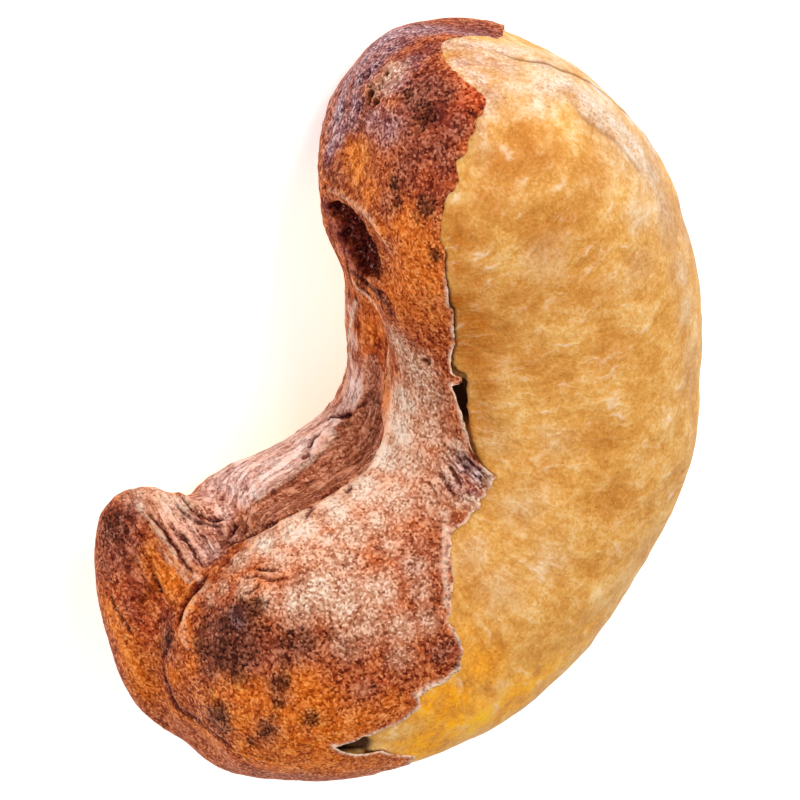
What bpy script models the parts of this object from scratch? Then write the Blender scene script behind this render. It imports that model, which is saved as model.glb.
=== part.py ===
"""A roasted cashew kernel lying on its flank: two seed halves pressed together,
and the brown skin that is left on the hollow side and on both ends.

Lengths are in millimetres here and are turned to metres where the meshes are made.
+Z is up, X runs along the nut, +Y is its round back and the hollow opens towards -Y.
"""

import math

import bmesh
import bpy
import numpy as np

MM = 0.001

# Stations along the middle line of the nut, from its blunt end to its knobbed end:
# x, y, half widths towards the back, the hollow, up and down,
# and the angle that the seam leaves the middle plane by, on the back and in the hollow.
STATIONS = (
    (-9.2, -7.15, 2.8, 4.0, 4.4, 4.6, 18, 0),
    (-8.9, -5.2, 3.4, 5.0, 5.25, 5.25, 18, 0),
    (-8.0, -2.4, 4.5, 5.6, 5.8, 5.5, 12, 0),
    (-5.7, 0.7, 5.35, 5.7, 6.1, 5.5, 4, 0),
    (-2.05, 3.05, 5.5, 5.45, 6.4, 5.6, 0, 0),
    (2.45, 3.9, 5.45, 5.45, 6.55, 5.6, 0, 0),
    (6.45, 2.2, 5.1, 5.5, 6.45, 5.6, 0, 0),
    (9.25, -1.35, 4.7, 5.1, 5.95, 5.6, 0, -4),
    (10.35, -4.85, 3.8, 4.25, 5.25, 5.0, 0, -8),
)
PLUMPNESS = 0.94  # 1 gives an elliptic section, less a squarer one
BLUNT_CAP, KNOB_CAP = 4.25, 5.2  # how far each end takes to round off
CAP_POWER = 2.2
HEADING_REACH = 0.42  # the middle line's heading is read this far each way

# The valley between the halves on the hollow side, and the notch between their ends.
VALLEY_DEPTH, VALLEY_WIDTH = 0.68, 1.1
VALLEY_FADE = 0.9  # how far round from the flanks the valley takes to reach its depth
NOTCH_DEPTH, NOTCH_WIDTH = 0.65, 0.7
STEP_BACK = 0.35  # the upper half ends this much before the lower one
STEP_RISE = 2.1
END_FROM, END_TO = 3.4, 0.2  # both come in over this stretch before the knobbed end

# Swellings and hollows: distance along the nut (from the knobbed end if negative),
# angle round it, radius, and the push that the middle of it gets.
KNOB = (-0.7, 228, 1.6, (-1.3, -1.6, -0.6))
KNOB_SIDE = (-0.85, 262, 2.2, (0.5, -1.1, -0.1))
HEEL = (-0.85, 335, 2.2, (0.85, 0.15, 0.0))
HEEL_UNDER = (-2.55, 8, 1.85, (0.35, 0.35, 0.0))
NECK_HOLLOW = (4.4, 186, 1.2, (-1.0, 0.4, 0.1))
HIP = (10.6, 214, 1.55, (0.1, -0.2, -0.1))
LOBE = (-1.5, 138, 1.7, (-0.25, -0.5, 0.25))
SWELLINGS = (KNOB, KNOB_SIDE, HEEL, HEEL_UNDER, NECK_HOLLOW, HIP, LOBE)

# Where the frame stands: under the middle of the nut's box, on the resting spot.
ORIGIN_X, ORIGIN_Y, REST_Z = 0.93, 0.95, -5.4

SEAM_GAP = 0.12
SEAM_GAP_REACH = 0.9
SKIN_GAP = 0.14
SKIN_THICKNESS = 0.24

# The torn edge of the skin round the bare window: distance along the nut and angle
# round it. It runs down the upper flank, round the knobbed end and back below.
TEAR = (
    (2.5, -23), (1.4, -5), (0.8, 18), (0.9, 34), (1.3, 52), (1.1, 76), (1.5, 96),
    (2.0, 108), (2.5, 117), (3.1, 122), (4.2, 127), (5.6, 130), (7.5, 134),
    (8.8, 138), (10.2, 141), (12.1, 140), (13.8, 138), (14.6, 132), (15.3, 128),
    (15.9, 133), (17.2, 136), (18.3, 136), (19.5, 130), (20.6, 121), (21.2, 114),
    (21.7, 104), (22.3, 94), (22.9, 91), (23.7, 88), (24.6, 81), (24.7, 72),
    (24.0, 65), (24.6, 45), (24.9, 20), (25.7, -4), (26.6, -28), (28.0, -50),
    (29.2, -76), (29.0, -104), (27.4, -124), (24.2, -134), (20.8, -140),
    (16.1, -148), (12.8, -154), (10.6, -156), (8.5, -153), (5.6, -146),
    (3.2, -132), (2.1, -104), (1.9, -76), (2.3, -48),
)
GIRTH_RADIUS = 5.4  # the nut's mean radius, which turns degrees round it to mm

ALONG, ROUND = 60, 52  # mesh steps along the nut and round it
END_CROWDING = 0.55  # 1 packs the steps into the ends, 0 spaces them evenly
SNAP = 0.32  # mesh points this near to the tear, in steps, are drawn onto it


def linear(hex_colour):
    """An sRGB hex colour as linear red, green, blue and full alpha."""
    parts = [int(hex_colour[i : i + 2], 16) / 255 for i in (1, 3, 5)]
    return [p / 12.92 if p <= 0.04045 else ((p + 0.055) / 1.055) ** 2.4 for p in parts] + [1.0]


def smooth_step(low, high, value):
    share = np.clip((value - low) / (high - low), 0.0, 1.0)
    return share * share * (3.0 - 2.0 * share)


def smooth_rows(rows, places):
    """A smooth curve through the rows, read at places counted in rows."""
    rows = np.asarray(rows, float)
    padded = np.vstack([2 * rows[0] - rows[1], rows, 2 * rows[-1] - rows[-2]])
    before = np.clip(np.floor(places).astype(int), 0, len(rows) - 2)
    t = (places - before)[:, None]
    a, b, c, d = (padded[before + step] for step in range(4))
    bend = (2 * a - 5 * b + 4 * c - d) * t**2 + (3 * b - a - 3 * c + d) * t**3
    return 0.5 * (2 * b + (c - a) * t + bend)


def middle_line(count=2000):
    """The distance along the middle line, and the station values at it."""
    values = smooth_rows(STATIONS, np.linspace(0, len(STATIONS) - 1, count))
    steps = np.hypot(*np.diff(values[:, :2], axis=0).T)
    return np.concatenate([[0.0], np.cumsum(steps)]), values


LINE_AT, LINE_VALUES = middle_line()
LENGTH = LINE_AT[-1]


def station(distance):
    """The station values at each distance, one array for each column."""
    return [np.interp(distance, LINE_AT, column) for column in LINE_VALUES.T]


def heading(distance):
    """The direction of the middle line, as x and y."""
    x0, y0 = station(np.clip(distance - HEADING_REACH, 0, LENGTH))[:2]
    x1, y1 = station(np.clip(distance + HEADING_REACH, 0, LENGTH))[:2]
    size = np.hypot(x1 - x0, y1 - y0)
    return (x1 - x0) / size, (y1 - y0) / size


def cap(distance, reach):
    """How full the section is this far from an end."""
    share = np.clip(1.0 - distance / reach, 0.0, 1.0)
    return np.sqrt(1.0 - share**CAP_POWER)


def plain_form(distance, angle):
    """The nut before its swellings: angle 0 is the back, 90 up, 180 the hollow side."""
    x, y, back, hollow, up, down, seam_back, seam_hollow = station(distance)
    along_x, along_y = heading(distance)
    toward_back = (1 + np.cos(angle)) / 2
    turned = angle + np.radians(seam_back * toward_back + seam_hollow * (1 - toward_back))
    across, rise = np.cos(turned), np.sin(turned)
    full = cap(distance, BLUNT_CAP) * cap(LENGTH - distance, KNOB_CAP)
    out = np.where(across > 0, back, hollow) * np.sign(across) * np.abs(across) ** PLUMPNESS
    z = np.where(rise > 0, up, down) * np.sign(rise) * np.abs(rise) ** PLUMPNESS * full
    valley = VALLEY_DEPTH * np.exp(-((z / VALLEY_WIDTH) ** 2)) * smooth_step(0.0, VALLEY_FADE, -across)
    out = (out + valley) * full
    near_end = smooth_step(LENGTH - END_FROM, LENGTH - END_TO, distance)
    notch = NOTCH_DEPTH * np.exp(-((z / NOTCH_WIDTH) ** 2))
    drawn_back = near_end * (STEP_BACK * smooth_step(0.0, STEP_RISE, z) + notch)
    return np.stack(
        [x - along_y * out - along_x * drawn_back, y + along_x * out - along_y * drawn_back, z],
        axis=-1,
    )


def form(distance, angle):
    """A point of the nut's surface in the frame of the finished nut, in millimetres."""
    points = plain_form(distance, angle)
    moved = points.copy()
    for place, degrees, radius, push in SWELLINGS:
        at = np.array([place % LENGTH])
        middle = plain_form(at, np.radians([float(degrees)]))[0]
        near = np.exp(-np.sum((points - middle) ** 2, axis=-1) / radius**2)
        moved += near[..., None] * np.array(push)
    return moved - (ORIGIN_X, ORIGIN_Y, REST_Z)


def mesh_grid():
    """Distances along the nut, closer together at its ends, and angles round it."""
    turn = np.linspace(0, math.pi, ALONG + 1)
    crowded, even = (1 - np.cos(turn)) / 2, turn / math.pi
    distance = LENGTH * (END_CROWDING * crowded + (1 - END_CROWDING) * even)
    return distance, np.linspace(0, 2 * math.pi, ROUND + 1)[:-1]


def outward(distance, angle):
    """Unit normals of the form, by small steps along it and round it."""
    step, turn = 0.02, 0.005
    distance = np.clip(distance, step, LENGTH - step)
    along = form(distance + step, angle) - form(distance - step, angle)
    around = form(distance, angle + turn) - form(distance, angle - turn)
    normal = np.cross(around, along)
    return normal / np.linalg.norm(normal, axis=-1, keepdims=True)


def material(name, colour, roughness):
    made = bpy.data.materials.new(name)
    made.use_nodes = True
    shader = made.node_tree.nodes["Principled BSDF"]
    shader.inputs["Base Color"].default_value = linear(colour)
    shader.inputs["Roughness"].default_value = roughness
    shader.inputs["Metallic"].default_value = 0.0
    return made


def add_object(name, points, faces, finish):
    """One object from points in millimetres, its faces split to triangles."""
    mesh = bpy.data.meshes.new(name)
    mesh.from_pydata((np.asarray(points) * MM).tolist(), [], faces)
    shape = bmesh.new()
    shape.from_mesh(mesh)
    bmesh.ops.triangulate(shape, faces=shape.faces[:])
    bmesh.ops.recalc_face_normals(shape, faces=shape.faces[:])
    shape.to_mesh(mesh)
    shape.free()
    mesh.materials.append(finish)
    mesh.shade_smooth()
    mesh.set_sharp_from_angle(angle=math.radians(50))
    made = bpy.data.objects.new(name, mesh)
    bpy.context.scene.collection.objects.link(made)
    return made


def seed_half(name, side, finish):
    """One half of the seed: side is 1 above the seam and -1 below it."""
    distance, _ = mesh_grid()
    angle = side * np.linspace(0, math.pi, ROUND // 2 + 1)
    inner = distance[1:-1]
    rows = form(*np.meshgrid(inner, angle, indexing="ij"))
    tips = form(np.array([distance[0], distance[-1]]), np.zeros(2))
    above_seam = rows[..., 2] + REST_Z
    fade = np.exp(-((above_seam / SEAM_GAP_REACH) ** 2))
    rows[..., 2] += side * SEAM_GAP / 2 * fade
    tips[:, 2] += side * SEAM_GAP / 2
    rows[..., 2] = np.maximum(rows[..., 2], 0.0)
    count, wide = rows.shape[:2]
    points = np.vstack([rows.reshape(-1, 3), tips])
    first, last = count * wide, count * wide + 1
    faces = []
    for i in range(count - 1):
        for j in range(wide - 1):
            faces.append((i * wide + j, (i + 1) * wide + j, (i + 1) * wide + j + 1, i * wide + j + 1))
        faces.append((i * wide + wide - 1, (i + 1) * wide + wide - 1, (i + 1) * wide, i * wide))
    for end, row in ((first, 0), (last, count - 1)):
        ring = [row * wide + j for j in range(wide)]
        for a, b in zip(ring, ring[1:] + ring[:1]):
            faces.append((end, a, b))
    return add_object(name, points, faces, finish)


def inside(points, outline):
    """Whether each point is inside the closed outline, by counting crossings."""
    held = np.zeros(points.shape[:-1], bool)
    x, y = points[..., 0], points[..., 1]
    for (x0, y0), (x1, y1) in zip(outline, np.roll(outline, -1, axis=0)):
        if y0 == y1:
            continue
        crosses = (y0 > y) != (y1 > y)
        held ^= crosses & (x < (x1 - x0) * (y - y0) / (y1 - y0) + x0)
    return held


def from_tear(distance, angle):
    """How far each point lies from the tear, in mm, below zero in the bare window.

    The nearest point of the tear comes with it, as distance and degrees."""
    degrees = (np.degrees(angle) + 180) % 360 - 180
    scale = np.array([1.0, math.radians(GIRTH_RADIUS)])
    places = np.stack([distance, degrees], axis=-1) * scale
    outline = np.array(TEAR, float) * scale
    best = np.full(distance.shape, np.inf)
    nearest = np.zeros(places.shape)
    for a, b in zip(outline, np.roll(outline, -1, axis=0)):
        share = np.clip(((places - a) @ (b - a)) / ((b - a) @ (b - a)), 0, 1)
        foot = a + share[..., None] * (b - a)
        gap = np.linalg.norm(places - foot, axis=-1)
        closer = gap < best
        best[closer] = gap[closer]
        nearest[closer] = foot[closer]
    field = np.where(inside(places, outline), -best, best)
    return field, nearest / scale


def cut_cell(corners, field, crossing):
    """The part of one mesh cell on the skin's side of the tear."""
    kept = []
    for a, b in zip(corners, corners[1:] + corners[:1]):
        if field[a] >= 0:
            kept.append(a)
        if field[a] * field[b] < 0:
            kept.append(crossing(a, b))
    return kept


def torn_skin(name, finish):
    """The skin: a thin shell just off the halves, open over the bare window."""
    distance, angle = mesh_grid()
    s, a = np.meshgrid(distance[1:-1], angle, indexing="ij")
    s, a = s.ravel(), a.ravel()
    field, nearest = from_tear(s, a)
    step = LENGTH / ALONG
    drawn = np.abs(field) < SNAP * step
    s[drawn] = nearest[drawn, 0]
    a[drawn] = np.radians(nearest[drawn, 1]) % (2 * math.pi)
    field[drawn] = 0.0
    places = [tuple(pair) for pair in zip(s, a)]
    first, last = len(places), len(places) + 1
    places += [(0.0, 0.0), (LENGTH, 0.0)]
    field = list(field) + [1.0, 1.0]
    crossings = {}

    def crossing(p, q):
        key = (min(p, q), max(p, q))
        if key not in crossings:
            share = field[p] / (field[p] - field[q])
            (s0, a0), (s1, a1) = places[p], places[q]
            turn = (a1 - a0 + math.pi) % (2 * math.pi) - math.pi
            crossings[key] = len(places)
            places.append((s0 + share * (s1 - s0), a0 + share * turn))
            field.append(0.0)
        return crossings[key]

    cells = []
    for i in range(ALONG - 2):
        for j in range(ROUND):
            k = (j + 1) % ROUND
            quad = [i * ROUND + j, (i + 1) * ROUND + j, (i + 1) * ROUND + k, i * ROUND + k]
            cells += [quad[:3], [quad[0], quad[2], quad[3]]]
    for end, row in ((first, 0), (last, ALONG - 2)):
        for j in range(ROUND):
            cells.append([end, row * ROUND + j, row * ROUND + (j + 1) % ROUND])
    kept = [cut_cell(cell, field, crossing) for cell in cells]
    kept = [cell for cell in kept if len(cell) > 2 and max(field[c] for c in cell) > 0]
    used = sorted({corner for cell in kept for corner in cell})
    index = {corner: i for i, corner in enumerate(used)}
    kept = [[index[corner] for corner in cell] for cell in kept]
    s, a = np.array([places[corner] for corner in used]).T
    base, normal = form(s, a), outward(s, a)
    below = base + SKIN_GAP * normal
    above = base + (SKIN_GAP + SKIN_THICKNESS) * normal
    return shell(name, above, below, kept, finish)


def shell(name, above, below, cells, finish):
    """A closed shell between two skins of the same cells, with a wall at their rim."""
    count = len(above)
    faces = [tuple(cell) for cell in cells]
    faces += [tuple(corner + count for corner in cell[::-1]) for cell in cells]
    sides = {}
    for cell in cells:
        for a, b in zip(cell, cell[1:] + cell[:1]):
            key = (min(a, b), max(a, b))
            sides[key] = None if key in sides else (a, b)
    for side in sides.values():
        if side:
            a, b = side
            faces.append((b, a, a + count, b + count))
    return add_object(name, np.vstack([above, below]), faces, finish)


def clear_scene():
    for old in list(bpy.data.objects):
        bpy.data.objects.remove(old, do_unlink=True)


def main():
    clear_scene()
    flesh = material("roasted_seed_flesh", "#e0ab62", 0.42)
    skin = material("papery_seed_skin", "#93502c", 0.6)
    seed_half("kernel_half_upper", 1, flesh)
    seed_half("kernel_half_lower", -1, flesh)
    torn_skin("skin", skin)


main()
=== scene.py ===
"""Looks of one roasted cashew kernel: two seed halves with a golden dry-roasted surface,
and the torn papery seed coat that is left on the hollow side and on both ends.

Lengths are in millimetres and are turned to metres where the meshes are made.
+Z is up, X runs along the nut, +Y is its round back and the hollow opens towards -Y.
"""

import math

import bpy
import numpy as np
from mathutils import Matrix, Vector
from mathutils.bvhtree import BVHTree

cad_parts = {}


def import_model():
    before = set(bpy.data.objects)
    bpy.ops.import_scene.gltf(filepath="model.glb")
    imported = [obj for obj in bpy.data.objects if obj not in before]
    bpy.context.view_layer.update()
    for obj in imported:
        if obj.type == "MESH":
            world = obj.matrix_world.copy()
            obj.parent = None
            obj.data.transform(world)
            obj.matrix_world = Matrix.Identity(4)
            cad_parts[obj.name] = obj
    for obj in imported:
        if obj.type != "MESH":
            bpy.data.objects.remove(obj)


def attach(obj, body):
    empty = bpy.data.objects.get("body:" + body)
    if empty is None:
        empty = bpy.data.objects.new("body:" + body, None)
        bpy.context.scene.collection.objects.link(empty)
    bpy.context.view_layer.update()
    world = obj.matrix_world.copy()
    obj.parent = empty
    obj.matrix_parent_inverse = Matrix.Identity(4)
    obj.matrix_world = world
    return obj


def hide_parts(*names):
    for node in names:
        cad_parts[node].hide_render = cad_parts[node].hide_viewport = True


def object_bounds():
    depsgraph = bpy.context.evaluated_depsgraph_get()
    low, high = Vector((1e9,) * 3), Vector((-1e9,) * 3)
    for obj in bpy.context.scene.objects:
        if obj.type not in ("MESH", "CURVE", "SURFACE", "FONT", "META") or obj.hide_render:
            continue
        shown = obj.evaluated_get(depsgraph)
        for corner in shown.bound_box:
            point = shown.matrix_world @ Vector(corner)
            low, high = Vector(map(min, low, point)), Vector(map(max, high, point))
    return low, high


MM = 0.001

# Stations along the middle line of the nut, from its blunt end to its knobbed end:
# x, y, half widths towards the back, the hollow, up and down,
# and the angle that the seam leaves the middle plane by, on the back and in the hollow.
STATIONS = (
    (-9.2, -7.15, 2.8, 4.0, 4.4, 4.6, 18, 0),
    (-8.9, -5.2, 3.4, 5.0, 5.25, 5.25, 18, 0),
    (-8.0, -2.4, 4.5, 5.6, 5.8, 5.5, 12, 0),
    (-5.7, 0.7, 5.35, 5.7, 6.1, 5.5, 4, 0),
    (-2.05, 3.05, 5.5, 5.45, 6.4, 5.6, 0, 0),
    (2.45, 3.9, 5.45, 5.45, 6.55, 5.6, 0, 0),
    (6.45, 2.2, 5.1, 5.5, 6.45, 5.6, 0, 0),
    (9.25, -1.35, 4.7, 5.1, 5.95, 5.6, 0, -4),
    (10.35, -4.85, 3.8, 4.25, 5.25, 5.0, 0, -8),
)
PLUMPNESS = 0.94  # the power of the round section: below 1 it is fuller than an ellipse
BLUNT_CAP, KNOB_CAP = 4.25, 5.2  # how far from each end the nut rounds off
CAP_POWER = 2.2  # above 2 the ends are blunter than an ellipse
HEADING_REACH = 0.42  # how far to each side the middle line's direction is taken over
VALLEY_DEPTH, VALLEY_WIDTH = 0.68, 1.1  # the groove between the halves on the hollow side
VALLEY_FADE = 0.9  # the groove is full past this share of the way to the hollow side
NOTCH_DEPTH, NOTCH_WIDTH = 0.65, 0.7  # the notch between the halves at the knobbed end
STEP_BACK = 0.35  # how much shorter the upper half ends than the lower one
STEP_RISE = 2.1  # how high over the middle plane that step is full
END_FROM, END_TO = 3.4, 0.2  # how far from the knobbed end notch and step begin and are full

# Swellings and hollows: distance along the nut (from the knobbed end if negative),
# angle round it, radius, and the push that the middle of it gets.
KNOB = (-0.7, 228, 1.6, (-1.3, -1.6, -0.6))
KNOB_SIDE = (-0.85, 262, 2.2, (0.5, -1.1, -0.1))
HEEL = (-0.85, 335, 2.2, (0.85, 0.15, 0.0))
HEEL_UNDER = (-2.55, 8, 1.85, (0.35, 0.35, 0.0))
NECK_HOLLOW = (4.4, 186, 1.2, (-1.0, 0.4, 0.1))
HIP = (10.6, 214, 1.55, (0.1, -0.2, -0.1))
LOBE = (-1.5, 138, 1.7, (-0.25, -0.5, 0.25))
SWELLINGS = (KNOB, KNOB_SIDE, HEEL, HEEL_UNDER, NECK_HOLLOW, HIP, LOBE)

ORIGIN_X, ORIGIN_Y, REST_Z = 0.93, 0.95, -5.4
GIRTH_RADIUS = 5.4  # the nut's mean radius, which turns degrees round it to mm

# The photograph's view of the nut, in its frame of 800 pixels a side.
PHOTO_SIDE = 800
PIXEL = 0.032725  # mm of the nut that a pixel shows
AIM_PIXEL = (420, 400)  # where the middle of the nut's own axes lies
CAMERA_DISTANCE = 170.0  # in mm
SENSOR = 36.0  # the width of the camera's sensor, in mm
# The photograph's directions on the nut: to the right, towards the camera and up.
VIEW_RIGHT = Vector((-0.478, 0.762, 0.437)).normalized()
VIEW_BACK = VIEW_RIGHT.cross(Vector((-0.859, -0.302, -0.413))).normalized()
VIEW_UP = VIEW_BACK.cross(VIEW_RIGHT)
AIM = Vector((-ORIGIN_X, -ORIGIN_Y, -REST_Z))
EYE = AIM + (PHOTO_SIDE / 2 - AIM_PIXEL[0]) * PIXEL * VIEW_RIGHT + CAMERA_DISTANCE * VIEW_BACK

# The tear, as pixels of the photograph where it shows, down from the top outline.
TEAR_SEEN = (
    (503, 36), (497, 38), (487, 35), (468, 37), (449, 40), (440, 45), (442, 56), (449, 66),
    (459, 77), (473, 89), (484, 100), (482, 108), (478, 117), (474, 129), (470, 136),
    (468, 145), (467, 156), (457, 159), (456, 166), (460, 178), (454, 190), (447, 198),
    (444, 209), (442, 226), (440, 240), (445, 247), (446, 264), (446, 278), (449, 292),
    (450, 303), (456, 313), (454, 327), (456, 341), (452, 355), (456, 369), (465, 374),
    (466, 377), (457, 380), (463, 397), (467, 410), (471, 424), (475, 440), (479, 457),
    (487, 467), (498, 477), (493, 481), (493, 487), (487, 490), (487, 496), (481, 500),
    (480, 507), (474, 511), (465, 524),
    (455, 531), (450, 538), (452, 547), (449, 553), (454, 572), (453, 582), (450, 602),
    (452, 610), (446, 620), (452, 627), (458, 638), (462, 648), (459, 668), (448, 678),
    (430, 686), (417, 694), (420, 703), (405, 716), (395, 722), (376, 730), (360, 736),
    (344, 742), (333, 745), (340, 749), (356, 752), (380, 748), (395, 752), (413, 752),
    (410, 762), (395, 770), (384, 775),
)
# The rest of it, round the hidden back: distance along the nut and degrees round it.
TEAR_HIDDEN = (
    (24.9, 20), (25.7, -4), (26.6, -28), (28.0, -50), (29.2, -76), (29.0, -104),
    (27.4, -124), (24.2, -134), (20.8, -140), (16.1, -148), (12.8, -154), (10.6, -156),
    (8.5, -153), (5.9, -146), (4.3, -132), (4.1, -104), (4.7, -84), (4.9, -66), (4.3, -50),
    (3.5, -38), (2.9, -27),
)

# The seam where it shows on the back near the blunt end, as pixels.
SEAM_SEEN = (
    (474, 44), (493, 49), (504, 53), (514, 58), (530, 61), (546, 63), (560, 70), (577, 76),
    (601, 91),
)
# Where the photograph's outline departs from the form: pixel, radius and push in mm.
OUTLINE_TOUCHES = (
    (336, 95, 1.4, 0.27), (430, 22, 1.3, -0.15), (524, 34, 1.4, -0.36), (645, 140, 1.8, 0.12),
    (686, 455, 1.6, 0.22), (630, 590, 1.7, -0.2), (500, 715, 2.2, 0.22), (196, 746, 1.2, -0.38),
    (290, 780, 1.0, -0.1), (425, 758, 1.0, 0.14), (470, 20, 1.1, -0.1), (342, 287, 1.3, -0.24),
    (374, 244, 0.7, -0.14), (378, 262, 0.8, -0.24), (382, 280, 0.7, -0.14), (341, 385, 0.8, -0.14),
    (300, 428, 1.2, 0.12),
)

# Mesh spacing, in mm: the coat's is finer round the side that the photograph shows.
SKIN_STEP, SKIN_ROUND_SEEN, SKIN_ROUND_HIDDEN = 0.085, 0.076, 0.2
SEEN_FROM, SEEN_TO, SEEN_FADE = 45, 235, 20  # degrees round the nut
KERNEL_STEP = 0.1
SKIN_THICKNESS, RIM_THICKNESS = 0.09, 0.05  # the coat's, and that of its torn rim, in mm
HEM = 0.6  # how far in from the tear the coat's inner side is modelled, in mm
SKIN_CLEARANCE = 0.05  # the gap between the coat and the kernel below it, in mm
COAT_LIFT = 0.13  # how far off the nut's form the coat's marks are seen, in mm
TOOTH, FINE_TOOTH = 0.07, 0.045  # how far the ragged tear strays from its line, in mm
FAR = 9.0  # a distance in mm that is past the reach of every mark

# Mesh points whose normals turn at least this far towards the camera count as seen.
FACING = 0.05


def linear(hex_colour):
    """An sRGB hex colour as linear red, green, blue and full alpha."""
    parts = [int(hex_colour[i : i + 2], 16) / 255 for i in (1, 3, 5)]
    return [p / 12.92 if p <= 0.04045 else ((p + 0.055) / 1.055) ** 2.4 for p in parts] + [1.0]


def smooth_step(low, high, value):
    """The share from 0 at low to 1 at high, with soft ends; low may be the larger."""
    share = np.clip((value - low) / (high - low), 0.0, 1.0)
    return share * share * (3.0 - 2.0 * share)


# The form of the nut.


def smooth_rows(rows, places):
    """A smooth curve through the rows, read at places counted in rows."""
    rows = np.asarray(rows, float)
    padded = np.vstack([2 * rows[0] - rows[1], rows, 2 * rows[-1] - rows[-2]])
    before = np.clip(np.floor(places).astype(int), 0, len(rows) - 2)
    t = (places - before)[:, None]
    a, b, c, d = (padded[before + step] for step in range(4))
    bend = (2 * a - 5 * b + 4 * c - d) * t**2 + (3 * b - a - 3 * c + d) * t**3
    return 0.5 * (2 * b + (c - a) * t + bend)


def middle_line(count=2000):
    """The distance along the middle line, and the station values at it."""
    values = smooth_rows(STATIONS, np.linspace(0, len(STATIONS) - 1, count))
    steps = np.hypot(*np.diff(values[:, :2], axis=0).T)
    return np.concatenate([[0.0], np.cumsum(steps)]), values


LINE_AT, LINE_VALUES = middle_line()
LENGTH = LINE_AT[-1]


def station(distance):
    """The station values at each distance, one array for each column."""
    return [np.interp(distance, LINE_AT, column) for column in LINE_VALUES.T]


def heading(distance):
    """The direction of the middle line, as x and y."""
    x0, y0 = station(np.clip(distance - HEADING_REACH, 0, LENGTH))[:2]
    x1, y1 = station(np.clip(distance + HEADING_REACH, 0, LENGTH))[:2]
    size = np.hypot(x1 - x0, y1 - y0)
    return (x1 - x0) / size, (y1 - y0) / size


def cap(distance, reach):
    """How full the section is this far from an end."""
    share = np.clip(1.0 - distance / reach, 0.0, 1.0)
    return np.sqrt(1.0 - share**CAP_POWER)


def fullness(distance):
    return cap(distance, BLUNT_CAP) * cap(LENGTH - distance, KNOB_CAP)


def plain_form(distance, angle):
    """The nut before its swellings: angle 0 is the back, 90 up, 180 the hollow side."""
    x, y, back, hollow, up, down, seam_back, seam_hollow = station(distance)
    along_x, along_y = heading(distance)
    toward_back = (1 + np.cos(angle)) / 2
    turned = angle + np.radians(seam_back * toward_back + seam_hollow * (1 - toward_back))
    across, rise = np.cos(turned), np.sin(turned)
    full = fullness(distance)
    out = np.where(across > 0, back, hollow) * np.sign(across) * np.abs(across) ** PLUMPNESS
    z = np.where(rise > 0, up, down) * np.sign(rise) * np.abs(rise) ** PLUMPNESS * full
    valley = VALLEY_DEPTH * np.exp(-((z / VALLEY_WIDTH) ** 2)) * smooth_step(0.0, VALLEY_FADE, -across)
    out = (out + valley) * full
    near_end = smooth_step(LENGTH - END_FROM, LENGTH - END_TO, distance)
    notch = NOTCH_DEPTH * np.exp(-((z / NOTCH_WIDTH) ** 2))
    drawn_back = near_end * (STEP_BACK * smooth_step(0.0, STEP_RISE, z) + notch)
    return np.stack(
        [x - along_y * out - along_x * drawn_back, y + along_x * out - along_y * drawn_back, z],
        axis=-1,
    )


def form(distance, angle):
    """A point of the nut's surface in the frame of the finished nut, in millimetres."""
    points = plain_form(distance, angle)
    moved = points.copy()
    for place, degrees, radius, push in SWELLINGS:
        at = np.array([place % LENGTH])
        middle = plain_form(at, np.radians([float(degrees)]))[0]
        near = np.exp(-np.sum((points - middle) ** 2, axis=-1) / radius**2)
        moved += near[..., None] * np.array(push)
    return moved - (ORIGIN_X, ORIGIN_Y, REST_Z)


def even_distances(step):
    """Distances along the nut whose rings lie evenly over its surface, ends included."""
    turn = np.linspace(0, math.pi, 4000)
    fine = LENGTH * (1 - np.cos(turn)) / 2
    angles = np.radians(np.arange(0, 360, 45))
    rings = form(*np.meshgrid(fine, angles, indexing="ij"))
    steps = np.linalg.norm(np.diff(rings, axis=0), axis=-1).mean(axis=1)
    run = np.concatenate([[0.0], np.cumsum(steps)])
    return np.interp(np.linspace(0, run[-1], round(run[-1] / step) + 1), run, fine)


# Noise and distances that the relief and the marks are drawn with.


def lattice(cells, seed):
    """A repeatable number from -1 to 1 for each cell of whole numbers.

    The factors have no meaning: they only scatter neighbouring cells."""
    mixed = np.sin(cells @ np.array([127.1, 311.7, 74.7]) + seed * 53.3) * 43758.5453
    return 2 * (mixed - np.floor(mixed)) - 1


def noise(points, size, seed):
    """Smooth noise from -1 to 1, its lumps about this size."""
    scaled = points / size
    low = np.floor(scaled)
    share = scaled - low
    share = share * share * (3 - 2 * share)
    total = np.zeros(len(points))
    for corner in np.ndindex(2, 2, 2):
        weight = np.prod(np.where(corner, share, 1 - share), axis=-1)
        total += weight * lattice(low + corner, seed)
    return total


def ridges(points, size, seed):
    """Noise folded into sharp ridges, 1 along their crests."""
    return 1 - 2 * np.abs(noise(points, size, seed))


def wandering(points, amount, size, seed):
    """The points moved about a little, so that what is drawn near them wavers."""
    pulls = [noise(points, size, seed + i) for i in range(3)]
    return points + amount * np.stack(pulls, axis=1)


def rough_noise(points, size, seed, layers=3):
    """Noise with finer and fainter layers on it."""
    total = np.zeros(len(points))
    for layer in range(layers):
        total += noise(points, size / 2**layer, seed + layer) / 2**layer
    return total / (2 - 2 ** (1 - layers))


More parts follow.
